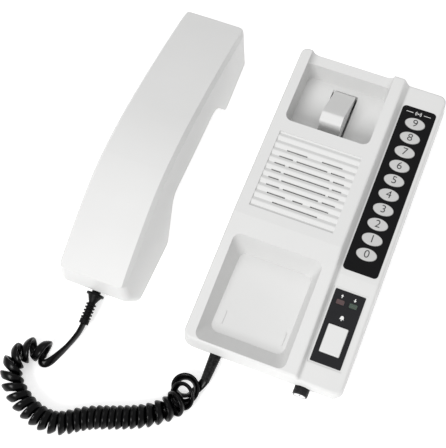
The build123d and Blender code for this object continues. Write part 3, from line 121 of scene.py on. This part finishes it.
# x, y, z of the coil's centre line, then the turns' pitch and radius, and their lean and skew in degrees
COIL_POINTS = (
    (-130.6, -143.4, 8.05, 4.0, 5.9, 19, 0),
    (-132.8, -142.9, 8.05, 8.6, 5.9, 19, 2),
    (-136.6, -143.4, 8.05, 8.2, 5.9, 15, 8),
    (-140.2, -145.3, 7.95, 7.9, 5.8, 8, 14),
    (-143.6, -148.5, 7.75, 7.7, 5.7, 0, 20),
    (-145.9, -152.3, 7.65, 7.6, 5.6, 0, 24),
    (-146.6, -157.1, 7.55, 7.6, 5.5, 0, 26),
    (-145.1, -163.0, 7.55, 7.3, 5.5, 0, 26),
    (-141.8, -168.2, 7.55, 7.0, 5.5, 0, 22),
    (-137.0, -172.7, 7.55, 6.8, 5.5, 0, 17),
    (-131.4, -176.4, 7.55, 6.3, 5.5, 0, 10),
    (-125.3, -179.5, 7.55, 5.9, 5.5, 0, 5),
    (-118.6, -181.5, 7.55, 5.6, 5.5, 0, 0),
    (-111.9, -182.5, 7.55, 5.3, 5.5, 0, 0),
    (-105.5, -182.0, 7.55, 5.1, 5.5, 0, 0),
    (-99.9, -179.6, 7.55, 4.9, 5.5, 0, 0),
    (-92.3, -174.2, 7.55, 4.4, 5.5, 0, 0),
    (-84.2, -169.7, 7.55, 4.2, 5.5, 0, 0),
    (-74.1, -166.1, 7.55, 4.2, 5.5, 0, 0),
    (-64.2, -162.0, 7.55, 4.3, 5.5, 0, 0),
    (-56.6, -158.3, 7.55, 4.8, 5.5, 0, 0),
    (-50.8, -154.4, 7.55, 5.6, 5.5, 0, 0),
    (-45.3, -149.7, 7.65, 6.1, 5.7, -4, 0),
    (-41.1, -144.3, 7.7, 6.2, 6.0, -14, 0),
    (-38.7, -137.6, 7.8, 6.0, 6.5, -34, 0),
    (-38.9, -134.2, 6.7, 5.6, 6.9, -46, 0),
    (-40.7, -129.9, 3.6, 5.2, 7.1, -62, 0),
)
# Along the handset's lead: the share of its points, and the broad side's twist in degrees there
LEAD_TWIST = (
    (0.0, -76.0),
    (0.3, -84.0),
    (0.55, -62.0),
    (0.8, -35.0),
    (1.0, -40.0),
)
# How far the cord's broad side is turned inwards from the axis of its turns, in degrees
RIBBON_LEAN = 33.0

# The cord's mesh: points between two route points, in a turn and in a join, and sides of its section
ROUTE_STEPS = 24
TURN_STEPS = 40
JOIN_STEPS = 24
CORD_SIDES = 14
# Points at which the growing number of turns is added up
TURN_SAMPLES = 4000
# How strongly a join keeps its ends' headings, in metres
LEAD_JOIN_PULL = 0.004
BASE_JOIN_PULL = 0.012
# The section's power: 1 gives an ellipse, and less gives fuller corners
CORD_ROUNDNESS = 0.8


def link(obj):
    """Puts an object into the scene."""
    bpy.context.scene.collection.objects.link(obj)
    return obj


def mesh_piece(name, points, faces, material, smooth=True):
    """An object from arrays of points and faces."""
    mesh = bpy.data.meshes.new(name)
    mesh.from_pydata(np.asarray(points).tolist(), [], [list(face) for face in faces])
    mesh.materials.append(material)
    mesh.polygons.foreach_set("use_smooth", [smooth] * len(mesh.polygons))
    mesh.update()
    return link(bpy.data.objects.new(name, mesh))


def dress(names, material):
    """Gives CAD nodes a material."""
    for name in names:
        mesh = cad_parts[name].data
        mesh.materials.clear()
        mesh.materials.append(material)


class Nodes:
    """Builds a material's node tree in short lines."""

    def __init__(self, name):
        self.material = bpy.data.materials.new(name)
        self.material.use_nodes = True
        self.tree = self.material.node_tree
        self.shader = self.tree.nodes["Principled BSDF"]
        self.place = self.add("ShaderNodeTexCoord").outputs["Object"]

    def add(self, kind, **sockets):
        """A new node, with the values of its input sockets given by name."""
        node = self.tree.nodes.new(kind)
        for name, value in sockets.items():
            node.inputs[name].default_value = value
        return node

    def join(self, source, target):
        """Links one socket to another."""
        self.tree.links.new(source, target)

    def fix(self, socket, value):
        """Sets a socket of the shader that is the same all over the surface."""
        self.shader.inputs[socket].default_value = value

    def vary(self, socket, source):
        """Lets a pattern drive a socket of the shader."""
        self.join(source, self.shader.inputs[socket])

    def noise(self, scale, detail=2.0):
        """Soft noise from 0 to 1, with its patches per metre."""
        node = self.add("ShaderNodeTexNoise", Scale=scale, Detail=detail)
        self.join(self.place, node.inputs["Vector"])
        return node.outputs["Fac"]

    def cells(self, scale):
        """The distance to the nearest of scattered points, with their number per metre."""
        node = self.add("ShaderNodeTexVoronoi", Scale=scale)
        self.join(self.place, node.inputs["Vector"])
        return node.outputs["Distance"]

    def ramp(self, source, low, high, first=0.0, last=1.0):
        """A blend from the low colour at the first value to the high colour at the last."""
        node = self.add("ShaderNodeValToRGB")
        for element, position, colour in zip(node.color_ramp.elements, (first, last), (low, high)):
            element.position = position
            element.color = (*colour, 1.0)
        self.join(source, node.inputs["Fac"])
        return node.outputs["Color"]

    def span(self, source, low, high):
        """A pattern from 0 to 1 stretched to lie between low and high."""
        node = self.add("ShaderNodeMapRange", **{"To Min": low, "To Max": high})
        self.join(source, node.inputs["Value"])
        return node.outputs["Result"]

    def bump(self, height, strength, distance):
        """Raises the surface's shading by a pattern, up to a distance in metres."""
        node = self.add("ShaderNodeBump", Strength=strength, Distance=distance)
        self.join(height, node.inputs["Height"])
        self.join(node.outputs["Normal"], self.shader.inputs["Normal"])


def moulded(name, colour, roughness, grain, depth, drift=0.03, gloss=0.5):
    """Moulded plastic: a slow drift of shade, a fine grain and uneven gloss."""
    nodes = Nodes(name)
    nodes.fix("Specular IOR Level", gloss)
    darker = [channel * (1 - drift) for channel in colour]
    lighter = [min(1.0, channel * (1 + drift)) for channel in colour]
    patches = nodes.noise(SHADE_PATCHES, detail=3.0)
    nodes.vary("Base Color", nodes.ramp(patches, darker, lighter, first=0.3, last=0.7))
    shine = nodes.noise(GLOSS_PATCHES)
    nodes.vary("Roughness", nodes.span(shine, roughness - GLOSS_SPREAD, roughness + GLOSS_SPREAD))
    nodes.bump(nodes.noise(grain), GRAIN_STRENGTH, depth)
    return nodes


def case_plastic(settings):
    """The white case: fine spark-eroded grain."""
    return moulded("case_plastic", settings.case_colour, roughness=0.5, grain=2600.0, depth=0.00003,
                   drift=0.02, gloss=0.35).material


def handset_plastic(settings):
    """The handset: the same white, moulded smoother."""
    return moulded("handset_plastic", settings.case_colour, roughness=0.42, grain=1800.0, depth=0.00002,
                   drift=0.02, gloss=0.4).material


def key_plastic(settings):
    """The keys' satin white."""
    return moulded("key_plastic", settings.key_colour, roughness=0.36, grain=2200.0, depth=0.00001,
                   drift=0.015).material


def label_film(name, settings, fading):
    """Printed black film with a faint emboss, its colour paler by the given factor."""
    colour = [channel * fading for channel in settings.label_colour]
    return moulded(name, colour, roughness=0.6, grain=3500.0, depth=0.00001, drift=0.12,
                   gloss=0.1).material


def black_plastic():
    """Satin black mouldings: the knob, the supply socket and the switches."""
    return moulded("black_plastic", (0.008, 0.008, 0.009), roughness=0.4, grain=2400.0, depth=0.00002,
                   drift=0.15, gloss=0.35).material


def black_rubber():
    """Near-black rubber with a coarse grain and a low sheen."""
    return moulded("black_rubber", (0.0025, 0.0025, 0.003), roughness=0.45, grain=700.0, depth=0.0009,
                   drift=0.4, gloss=0.14).material


def knurled_rubber():
    """The base sleeve's rubber, covered in small raised grains, with a painted highlight on their tops and
    painted shade in the grooves between them.
    """
    nodes = Nodes("knurled_rubber")
    distance = nodes.cells(900.0)
    # Painted light: the raised grain tops are painted paler as a highlight, the grooves painted darker as
    # shade
    painted_highlight_top, painted_shade_groove = (0.014, 0.014, 0.0145), (0.0005, 0.0005, 0.0006)
    nodes.vary("Base Color", nodes.ramp(distance, painted_highlight_top, painted_shade_groove, first=0.1, last=0.7))
    nodes.fix("Roughness", 0.5)
    nodes.fix("Specular IOR Level", 0.2)
    nodes.bump(nodes.span(distance, 1.0, 0.0), strength=0.8, distance=0.0004)
    return nodes.material


def cord_sheath():
    """The cord's satin black sheath, slightly uneven in gloss."""
    return moulded("cord_sheath", (0.0008, 0.0008, 0.001), roughness=0.25, grain=1200.0, depth=0.00002,
                   drift=0.2, gloss=0.17).material


def print_ink(name, colour):
    """Screen-printed ink with slightly thin spots."""
    return moulded(name, colour, roughness=0.5, grain=4000.0, depth=0.000005, drift=0.06).material


def lamp_window(name, colour):
    """A lamp's dark coloured window, which lets a little light into its skin."""
    nodes = moulded(name, colour, roughness=0.28, grain=900.0, depth=0.00002, drift=0.25)
    nodes.fix("Subsurface Weight", 0.2)
    nodes.fix("Subsurface Scale", 0.001)
    return nodes.material


def silicone():
    """The key mat's grey silicone."""
    return moulded("silicone", (0.3, 0.3, 0.32), roughness=0.5, grain=900.0, depth=0.00003).material


def solder_mask():
    """The circuit boards' green lacquer."""
    return moulded("solder_mask", (0.01, 0.09, 0.035), roughness=0.3, grain=500.0, depth=0.00003,
                   drift=0.2).material


def epoxy():
    """The black epoxy of the parts on the boards."""
    return moulded("epoxy", (0.02, 0.02, 0.02), roughness=0.5, grain=900.0, depth=0.00003).material


def pressed_paper():
    """The speaker cone's dark pressed paper."""
    return moulded("pressed_paper", (0.03, 0.03, 0.03), roughness=0.85, grain=700.0, depth=0.0001).material


def metal(name, colour, roughness):
    """Metal with fine turned or drawn scratches, darker and rougher by patches."""
    nodes = Nodes(name)
    nodes.fix("Metallic", 1.0)
    scratches = nodes.noise(900.0, detail=4.0)
    darker = [channel * 0.85 for channel in colour]
    nodes.vary("Base Color", nodes.ramp(scratches, darker, colour))
    nodes.vary("Roughness", nodes.span(scratches, roughness - 0.08, roughness + 0.08))
    nodes.bump(scratches, strength=0.2, distance=0.00001)
    return nodes.material


def floor_paper():
    """The pale floor, which glows a little as a lit studio table does."""
    nodes = Nodes("floor_paper")
    nodes.vary("Base Color", nodes.ramp(nodes.noise(3.0), (0.80, 0.80, 0.80), (0.82, 0.82, 0.82)))
    nodes.fix("Roughness", 0.8)
    nodes.fix("Emission Color", (1.0, 1.0, 1.0, 1.0))
    nodes.fix("Emission Strength", FLOOR_GLOW)
    return nodes.material


def route(points):
    """A smooth line near given points: a quadratic NURBS through its ends, read back as points."""
    curve = bpy.data.curves.new("route", "CURVE")
    curve.dimensions = "3D"
    curve.resolution_u = ROUTE_STEPS
    spline = curve.splines.new("NURBS")
    spline.points.add(len(points) - 1)
    control = np.ones((len(points), 4))
    control[:, :3] = np.array(points)[:, :3] * MM
    spline.points.foreach_set("co", control.ravel())
    spline.order_u = 3
    spline.use_endpoint_u = True
    guide = bpy.data.objects.new("route", curve)
    mesh = bpy.data.meshes.new_from_object(guide)
    line = np.empty(len(mesh.vertices) * 3)
    mesh.vertices.foreach_get("co", line)
    bpy.data.objects.remove(guide)
    bpy.data.curves.remove(curve)
    bpy.data.meshes.remove(mesh)
    return line.reshape(-1, 3)


def arc_lengths(line):
    """The distance along a line of points up to each: its steps' lengths added up."""
    return np.concatenate([[0.0], np.cumsum(np.linalg.norm(np.diff(line, axis=0), axis=1))])


def unit(rows):
    """Rows scaled to length one."""
    return rows / np.linalg.norm(rows, axis=-1, keepdims=True)


def nearest_marks(line, points):
    """The distance along the line up to its point that lies nearest to each given point."""
    spots = np.array(points)[:, None, :3] * MM
    return arc_lengths(line)[np.argmin(np.linalg.norm(line[None] - spots, axis=2), axis=1)]


def coil():
    """The curly stretch's middle line and, at each point, the direction of the cord's broad side.

    A point is centre + radius (cos a over + sin a left), left-handed, where a starts under the line and grows
    by one full turn each pitch. Left lies level across the line, and over is up. The skew turns along and
    left about up, and the lean then tips over back against along. The broad side is the turns' axis, turned
    inwards by RIBBON_LEAN.
    """
    line = route(COIL_POINTS)
    length = arc_lengths(line)
    marks = nearest_marks(line, COIL_POINTS)
    pitches, radii, leans, skews = np.array(COIL_POINTS)[:, 3:].T
    samples = np.linspace(0, length[-1], TURN_SAMPLES)
    pitch = np.interp(samples, marks, pitches) * MM
    turns = np.concatenate([[0.0], np.cumsum(np.diff(samples) / pitch[1:])])
    whole = round(turns[-1])
    turns *= whole / turns[-1]
    turn = np.linspace(0, whole, whole * TURN_STEPS + 1)
    at = np.interp(turn, turns, samples)
    centre = np.stack([np.interp(at, length, column) for column in line.T], axis=1)
    radius = np.interp(at, marks, radii)[:, None] * MM
    lean = np.radians(np.interp(at, marks, leans))[:, None]
    skew = np.radians(np.interp(at, marks, skews))[:, None]
    along = unit(np.gradient(centre, axis=0))
    left = unit(np.stack([-along[:, 1], along[:, 0], np.zeros(len(along))], axis=1))
    up = np.cross(along, left)
    along, left = along * np.cos(skew) - left * np.sin(skew), left * np.cos(skew) + along * np.sin(skew)
    over = up * np.cos(lean) - along * np.sin(lean)
    axis = along * np.cos(lean) + up * np.sin(lean)
    angle = (pi + 2 * pi * turn)[:, None]
    outward = np.cos(angle) * over + np.sin(angle) * left
    inwards = radians(RIBBON_LEAN)
    return centre + radius * outward, axis * cos(inwards) - outward * sin(inwards)


def bridge(before, after, pull):
    """A cubic from the end of one line to the start of the next that keeps both headings.

    With t from 0 to 1, a point is the sum of four things, each times its weight: the start times
    2t^3 - 3t^2 + 1, its heading times pull and t^3 - 2t^2 + t, the end times 3t^2 - 2t^3, and its heading
    times pull and t^3 - t^2.
    """
    t = np.linspace(0, 1, JOIN_STEPS)[1:-1, None]
    leaving = unit(before[-1] - before[-2]) * pull
    arriving = unit(after[1] - after[0]) * pull
    starts = (2 * t ** 3 - 3 * t ** 2 + 1) * before[-1] + (t ** 3 - 2 * t ** 2 + t) * leaving
    ends = (3 * t ** 2 - 2 * t ** 3) * after[0] + (t ** 3 - t ** 2) * arriving
    return starts + ends


def cord_path():
    """The whole cord's middle line and, at each point, the direction of its broad side.

    The leads' broad side is level, turned about the cord by LEAD_TWIST on the handset's lead. The coil has
    its own, and in a join one passes into the other in even shares.
    """
    lead = route(LEAD_POINTS)
    base_lead = route(BASE_LEAD_POINTS)[::-1]
    turns, turns_broad = coil()
    join_in = bridge(lead, turns, LEAD_JOIN_PULL)
    join_out = bridge(turns, base_lead, BASE_JOIN_PULL)
    line = np.concatenate([lead, join_in, turns, join_out, base_lead])
    heading = unit(np.gradient(line, axis=0))
    level = -unit(np.cross(heading, (0.0, 0.0, 1.0)))
    upright = np.cross(heading, level)
    shares, degrees = np.array(LEAD_TWIST).T
    twist = np.zeros((len(line), 1))
    twist[:len(lead), 0] = np.radians(np.interp(np.arange(len(lead)), shares * len(lead), degrees))
    broad = level * np.cos(twist) + upright * np.sin(twist)
    coil_start = len(lead) + len(join_in)
    coil_end = coil_start + len(turns)
    join_end = coil_end + len(join_out)
    share = np.linspace(0.0, 1.0, len(join_in))[:, None]
    broad[len(lead):coil_start] = broad[len(lead) - 1] * (1 - share) + turns_broad[0] * share
    broad[coil_start:coil_end] = turns_broad
    # The base's lead shows the face that the coil's last turn shows, so the join doesn't twist half round
    broad[coil_end:] *= np.sign(np.sum(turns_broad[-1] * level[coil_end]))
    share = np.linspace(0.0, 1.0, len(join_out))[:, None]
    broad[coil_end:join_end] = turns_broad[-1] * (1 - share) + broad[coil_end:join_end] * share
    broad -= heading * np.sum(broad * heading, axis=1, keepdims=True)
    return line, unit(broad)


def fuller(wave):
    """A cosine or sine raised to CORD_ROUNDNESS, its sign kept."""
    return np.sign(wave) * np.abs(wave) ** CORD_ROUNDNESS


def ribbon(line, broad, width, thickness):
    """A closed flat tube: at each point a squared ellipse, its long axis along the broad direction.

    Its two half sides are multiplied by the fuller cosine and the fuller sine of evenly spaced angles.
    """
    thin = np.cross(unit(np.gradient(line, axis=0)), broad)
    angle = np.arange(CORD_SIDES) * 2 * pi / CORD_SIDES
    across, through = fuller(np.cos(angle)) * width / 2, fuller(np.sin(angle)) * thickness / 2
    rings = line[:, None] + broad[:, None] * across[None, :, None] + thin[:, None] * through[None, :, None]
    first = np.arange(len(line) - 1)[:, None] * CORD_SIDES
    side = np.arange(CORD_SIDES)[None]
    after = (side + 1) % CORD_SIDES
    quads = np.stack([first + side, first + after, first + CORD_SIDES + after, first + CORD_SIDES + side],
                     axis=2)
    faces = quads.reshape(-1, 4).tolist()
    faces.append(list(range(CORD_SIDES))[::-1])
    faces.append([(len(line) - 1) * CORD_SIDES + step for step in range(CORD_SIDES)])
    return rings.reshape(-1, 3), faces


def laid(name, curve, place, tilt, material):
    """Makes a print's curve a mesh, tilts it about X and lays it with its lower face on its place."""
    carrier = bpy.data.objects.new(name, curve)
    mesh = bpy.data.meshes.new_from_object(carrier)
    bpy.data.objects.remove(carrier)
    bpy.data.curves.remove(curve)
    middle = (place[0], place[1], place[2] + INK_HALF_DEPTH)
    mesh.transform(Matrix.Translation(middle) @ Matrix.Rotation(tilt, 4, "X"))
    mesh.materials.clear()
    mesh.materials.append(material)
    return link(bpy.data.objects.new(name, mesh))


def flat_print(outlines):
    """Closed outlines, in millimetres, as one thin filled curve."""
    curve = bpy.data.curves.new("print", "CURVE")
    curve.dimensions = "2D"
    curve.fill_mode = "BOTH"
    curve.extrude = INK_HALF_DEPTH
    for outline in outlines:
        points = np.ones((len(outline), 4))
        points[:, :2] = np.array(outline) * MM
        points[:, 2] = 0.0
        spline = curve.splines.new("POLY")
        spline.points.add(len(outline) - 1)
        spline.points.foreach_set("co", points.ravel())
        spline.use_cyclic_u = True
    return curve


def disc(radius, steps=24):
    """A round dot's outline: radius times the cosine and sine of evenly spaced angles."""
    angle = np.arange(steps) * 2 * pi / steps
    return np.stack([np.cos(angle), np.sin(angle)], axis=1) * radius


def arc(radius, first, last, steps=12):
    """Points on a circle from one angle to another, in degrees: radius times their cosine and sine."""
    angle = np.radians(np.linspace(first, last, steps))
    return np.stack([np.cos(angle), np.sin(angle)], axis=1) * radius


def band(radius, width, first, last):
    """An arc of even width between two angles in degrees: its outer edge, then its inner one back."""
    return np.concatenate([arc(radius + width / 2, first, last), arc(radius - width / 2, first, last)[::-1]])


def bar(x_low, x_high, y_low, y_high):
    """A rectangle's outline."""
    return [(x_low, y_low), (x_high, y_low), (x_high, y_high), (x_low, y_high)]


def wave_mark():
    """Sound going out both ways from a dot, between two rules, in millimetres and degrees."""
    dot, rings, stroke, spread = 0.45, (1.15, 1.95), 0.32, 48
    rule_start, rule_end, rule_half = 3.6, 8.3, 0.17
    outlines = [disc(dot)]
    for radius in rings:
        outlines.append(band(radius, stroke, -spread, spread))
        outlines.append(band(radius, stroke, 180 - spread, 180 + spread))
    outlines.append(bar(-rule_end, -rule_start, -rule_half, rule_half))
    outlines.append(bar(rule_start, rule_end, -rule_half, rule_half))
    return outlines


def arrow_mark(up):
    """A short arrow, up for sending and down for receiving, in millimetres."""
    stem, head = 0.26, 0.95
    tail, neck, tip = -1.15, 0.05, 1.2
    points = [(-stem, tail), (stem, tail), (stem, neck), (head, neck), (0.0, tip), (-head, neck),
              (-stem, neck)]
    return [points if up else [(-x, -y) for x, y in points]]


def bell_mark():
    """A bell in millimetres: a stretched half circle over a flaring skirt, and a dot below as clapper."""
    radius, stretch = 1.1, 1.25
    waist, rim_half, rim = -0.35, 1.55, -0.95
    clapper, clapper_middle = 0.38, -1.45
    dome = arc(radius, 0, 180) * (1.0, stretch)
    skirt = [(-radius, waist), (-rim_half, rim), (rim_half, rim), (radius, waist)]
    return [np.concatenate([dome, skirt]), disc(clapper) + (0.0, clapper_middle)]


def mark_place(label, node, drop, slope):
    """A mark's middle: over the node's middle, a drop below its label's far edge, on the label's face."""
    label_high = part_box(label)[1]
    low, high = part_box(node)
    return (low[0] + high[0]) / 2, label_high[1] - drop, label_high[2] - tan(slope) * drop


def add_light(name, place, power):
    """A soft square light aimed at the object's middle."""
    light = bpy.data.lights.new(name, "AREA")
    light.size = LIGHT_SIZE
    light.energy = power
    lamp = link(bpy.data.objects.new(name, light))
    lamp.location = place
    lamp.rotation_euler = (Vector(LIGHT_TARGET) - Vector(place)).to_track_quat("-Z", "Y").to_euler()


def add_camera(scene):
    """The camera at the photograph's place and angle."""
    camera = bpy.data.cameras.new("camera")
    camera.sensor_width = SENSOR_WIDTH
    camera.lens = FOCAL_PIXELS * SENSOR_WIDTH / PICTURE_LONG_SIDE
    eye = link(bpy.data.objects.new("camera", camera))
    back = -Vector(CAMERA_FORWARD)
    up = Vector(CAMERA_UP)
    right = up.cross(back)
    turn = Matrix((right, up, back)).transposed().to_4x4()
    eye.matrix_world = Matrix.Translation(CAMERA_PLACE) @ turn
    scene.camera = eye


class IntercomSettings(bpy.types.PropertyGroup):
    """Sizes and colours a user would change."""

    case_colour: bpy.props.FloatVectorProperty(
        name="Case colour", description="Base colour of the white mouldings", subtype="COLOR", size=3,
        min=0.0, max=1.0, default=(0.69, 0.69, 0.685))
    key_colour: bpy.props.FloatVectorProperty(
        name="Key colour", description="Base colour of the number keys", subtype="COLOR", size=3,
        min=0.0, max=1.0, default=(0.52, 0.52, 0.515))
    label_colour: bpy.props.FloatVectorProperty(
        name="Label colour", description="Base colour of the labels, paler on the call panel",
        subtype="COLOR", size=3, min=0.0, max=1.0, default=(0.0045, 0.0045, 0.005))
    digit_size: bpy.props.FloatProperty(
        name="Digit size", description="Type size of the keys' digits", subtype="DISTANCE", default=0.0075)
    cord_width: bpy.props.FloatProperty(
        name="Cord width", description="Broad side of the flat cord", subtype="DISTANCE", default=0.0056)
    cord_thickness: bpy.props.FloatProperty(
        name="Cord thickness", description="Narrow side of the flat cord", subtype="DISTANCE",
        default=0.0024)


class INTERCOM_OT_base(bpy.types.Operator):
    """Dress the base's shells, hook lever, call button, labels and lamp windows"""
    bl_idname = "intercom.base"
    bl_label = "Base"

    def execute(self, context):
        settings = context.scene.intercom
        dress(["base_top_shell", "base_bottom_shell", "hook_lever", "call_button"], case_plastic(settings))
        dress(["key_label"], label_film("key_film", settings, 1.0))
        dress(["call_label"], label_film("call_film", settings, CALL_FILM_FADING))
        dress(["tx_lamp_lens"], lamp_window("red_window", (0.048, 0.018, 0.020)))
        dress(["rx_lamp_lens"], lamp_window("green_window", (0.022, 0.044, 0.028)))
        return {"FINISHED"}


class INTERCOM_OT_fittings(bpy.types.Operator):
    """Dress the black plastic and rubber fittings of the base and the handset, and the knob's cap"""
    bl_idname = "intercom.fittings"
    bl_label = "Fittings"

    def execute(self, context):
        dress(["volume_knob", "power_jack", "hook_switch", "volume_control", "call_switch",
               "speaker_clamps"], black_plastic())
        dress(["base_cord_sleeve"], knurled_rubber())
        dress(["rubber_feet", "handset_strain_relief", "mic_holder", "ear_seal", "antenna_rod"],
              black_rubber())
        dress(["knob_cap"], metal("turned_cap", (0.85, 0.85, 0.86), 0.25))
        return {"FINISHED"}


class INTERCOM_OT_inside(bpy.types.Operator):
    """Dress the metal pieces, the boards and what else lies inside the base and the handset"""
    bl_idname = "intercom.inside"
    bl_label = "Inside"

    def execute(self, context):
        dress(["case_screws", "board_screws", "handset_screws", "hook_pin", "hook_spring",
               "speaker_frame", "volume_shaft", "ear_capsule", "mic_capsule"],
              metal("plated_steel", (0.6, 0.6, 0.62), 0.35))
        dress(["speaker_magnet", "ballast_weight"], metal("dull_iron", (0.2, 0.2, 0.21), 0.6))
        dress(["speaker_cone"], pressed_paper())
        dress(["key_mat"], silicone())
        dress(["main_board", "call_board", "radio_module"], solder_mask())
        dress(["board_parts", "key_contacts", "lamp_leds"], epoxy())
        return {"FINISHED"}


class INTERCOM_OT_keys(bpy.types.Operator):
    """Dress the number keys and print their digits"""
    bl_idname = "intercom.keys"
    bl_label = "Number keys"

    def execute(self, context):
        settings = context.scene.intercom
        dress([f"key_{digit}" for digit in range(10)], key_plastic(settings))
        ink = print_ink("digit_ink", (0.010, 0.010, 0.011))
        for digit in range(10):
            low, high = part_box(f"key_{digit}")
            text = bpy.data.curves.new("digit", "FONT")
            text.body = str(digit)
            text.size = settings.digit_size
            text.offset = -settings.digit_size * DIGIT_THINNING
            text.extrude = INK_HALF_DEPTH
            text.align_x = "CENTER"
            text.align_y = "CENTER"
            place = ((low[0] + high[0]) / 2, (low[1] + high[1]) / 2, high[2])
            mark = laid(f"digit_{digit}", text, place, 0.0, ink)
            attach(mark, f"key_{digit}")
        return {"FINISHED"}


class INTERCOM_OT_marks(bpy.types.Operator):
    """Print the generic marks on the two labels"""
    bl_idname = "intercom.marks"
    bl_label = "Label marks"

    def execute(self, context):
        ink = print_ink("white_ink", (0.75, 0.75, 0.74))
        slope = radians(CALL_SLOPE)
        for name, outlines, label, node, drop, tilt in (
                ("wave_mark", wave_mark(), "key_label", "key_label", WAVE_MARK_DROP, 0.0),
                ("send_mark", arrow_mark(True), "call_label", "tx_lamp_lens", LAMP_MARK_DROP, slope),
                ("receive_mark", arrow_mark(False), "call_label", "rx_lamp_lens", LAMP_MARK_DROP, slope),
                ("bell_mark", bell_mark(), "call_label", "call_button", BELL_MARK_DROP, slope)):
            mark = laid(name, flat_print(outlines), mark_place(label, node, drop, tilt), tilt, ink)
            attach(mark, "base")
        return {"FINISHED"}


class INTERCOM_OT_handset(bpy.types.Operator):
    """Dress the handset's two shells"""
    bl_idname = "intercom.handset"
    bl_label = "Handset"

    def execute(self, context):
        settings = context.scene.intercom
        dress(["handset_back_shell", "handset_front_shell"], handset_plastic(settings))
        return {"FINISHED"}


class INTERCOM_OT_cord(bpy.types.Operator):
    """Make the curly cord from the handset to the base"""
    bl_idname = "intercom.cord"
    bl_label = "Curly cord"

    def execute(self, context):
        settings = context.scene.intercom
        line, broad = cord_path()
        points, faces = ribbon(line, broad, settings.cord_width, settings.cord_thickness)
        cord = mesh_piece("flat_curly_cord", points, faces, cord_sheath())
        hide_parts("handset_lead", "curly_cord", "base_lead")
        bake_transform(cord)
        return {"FINISHED"}


class INTERCOM_OT_stage(bpy.types.Operator):
    """Lay the floor, hang the lights and place the camera"""
    bl_idname = "intercom.stage"
    bl_label = "Stage"

    def execute(self, context):
        scene = context.scene
        corners = [(x * FLOOR_REACH, y * FLOOR_REACH, 0) for x, y in ((-1, -1), (1, -1), (1, 1), (-1, 1))]
        floor = mesh_piece("floor", corners, [(0, 1, 2, 3)], floor_paper(), smooth=False)
        world = bpy.data.worlds.new("studio")
        world.use_nodes = True
        sky = world.node_tree.nodes["Background"]
        sky.inputs["Color"].default_value = (1, 1, 1, 1)
        sky.inputs["Strength"].default_value = SKY_STRENGTH
        scene.world = world
        add_light("key_light", KEY_LIGHT_PLACE, KEY_LIGHT_POWER)
        add_light("top_light", TOP_LIGHT_PLACE, TOP_LIGHT_POWER)
        add_camera(scene)
        scene.view_settings.view_transform = "Standard"
        return {"FINISHED"}


STEPS = (
    INTERCOM_OT_base,
    INTERCOM_OT_fittings,
    INTERCOM_OT_inside,
    INTERCOM_OT_keys,
    INTERCOM_OT_marks,
    INTERCOM_OT_handset,
    INTERCOM_OT_cord,
    INTERCOM_OT_stage,
)


class INTERCOM_PT_panel(bpy.types.Panel):
    """Lists the intercom's sizes, colours and steps"""
    bl_idname = "INTERCOM_PT_panel"
    bl_label = "Intercom"
    bl_space_type = "VIEW_3D"
    bl_region_type = "UI"
    bl_category = "Intercom"

    def draw(self, context):
        settings = context.scene.intercom
        for name in IntercomSettings.__annotations__:
            self.layout.prop(settings, name)
        for step in STEPS:
            self.layout.operator(step.bl_idname)


def register():
    """Adds the settings, the operators and the panel."""
    for listed in (IntercomSettings, *STEPS, INTERCOM_PT_panel):
        bpy.utils.register_class(listed)
    bpy.types.Scene.intercom = bpy.props.PointerProperty(type=IntercomSettings)


def unregister():
    """Takes them away again."""
    del bpy.types.Scene.intercom
    for listed in (INTERCOM_PT_panel, *reversed(STEPS), IntercomSettings):
        bpy.utils.unregister_class(listed)


def main():
    register()
    bpy.ops.intercom.base()
    bpy.ops.intercom.fittings()
    bpy.ops.intercom.inside()
    bpy.ops.intercom.keys()
    bpy.ops.intercom.marks()
    bpy.ops.intercom.handset()
    bpy.ops.intercom.cord()
    bpy.ops.intercom.stage()


if __name__ == "__main__":
    main()
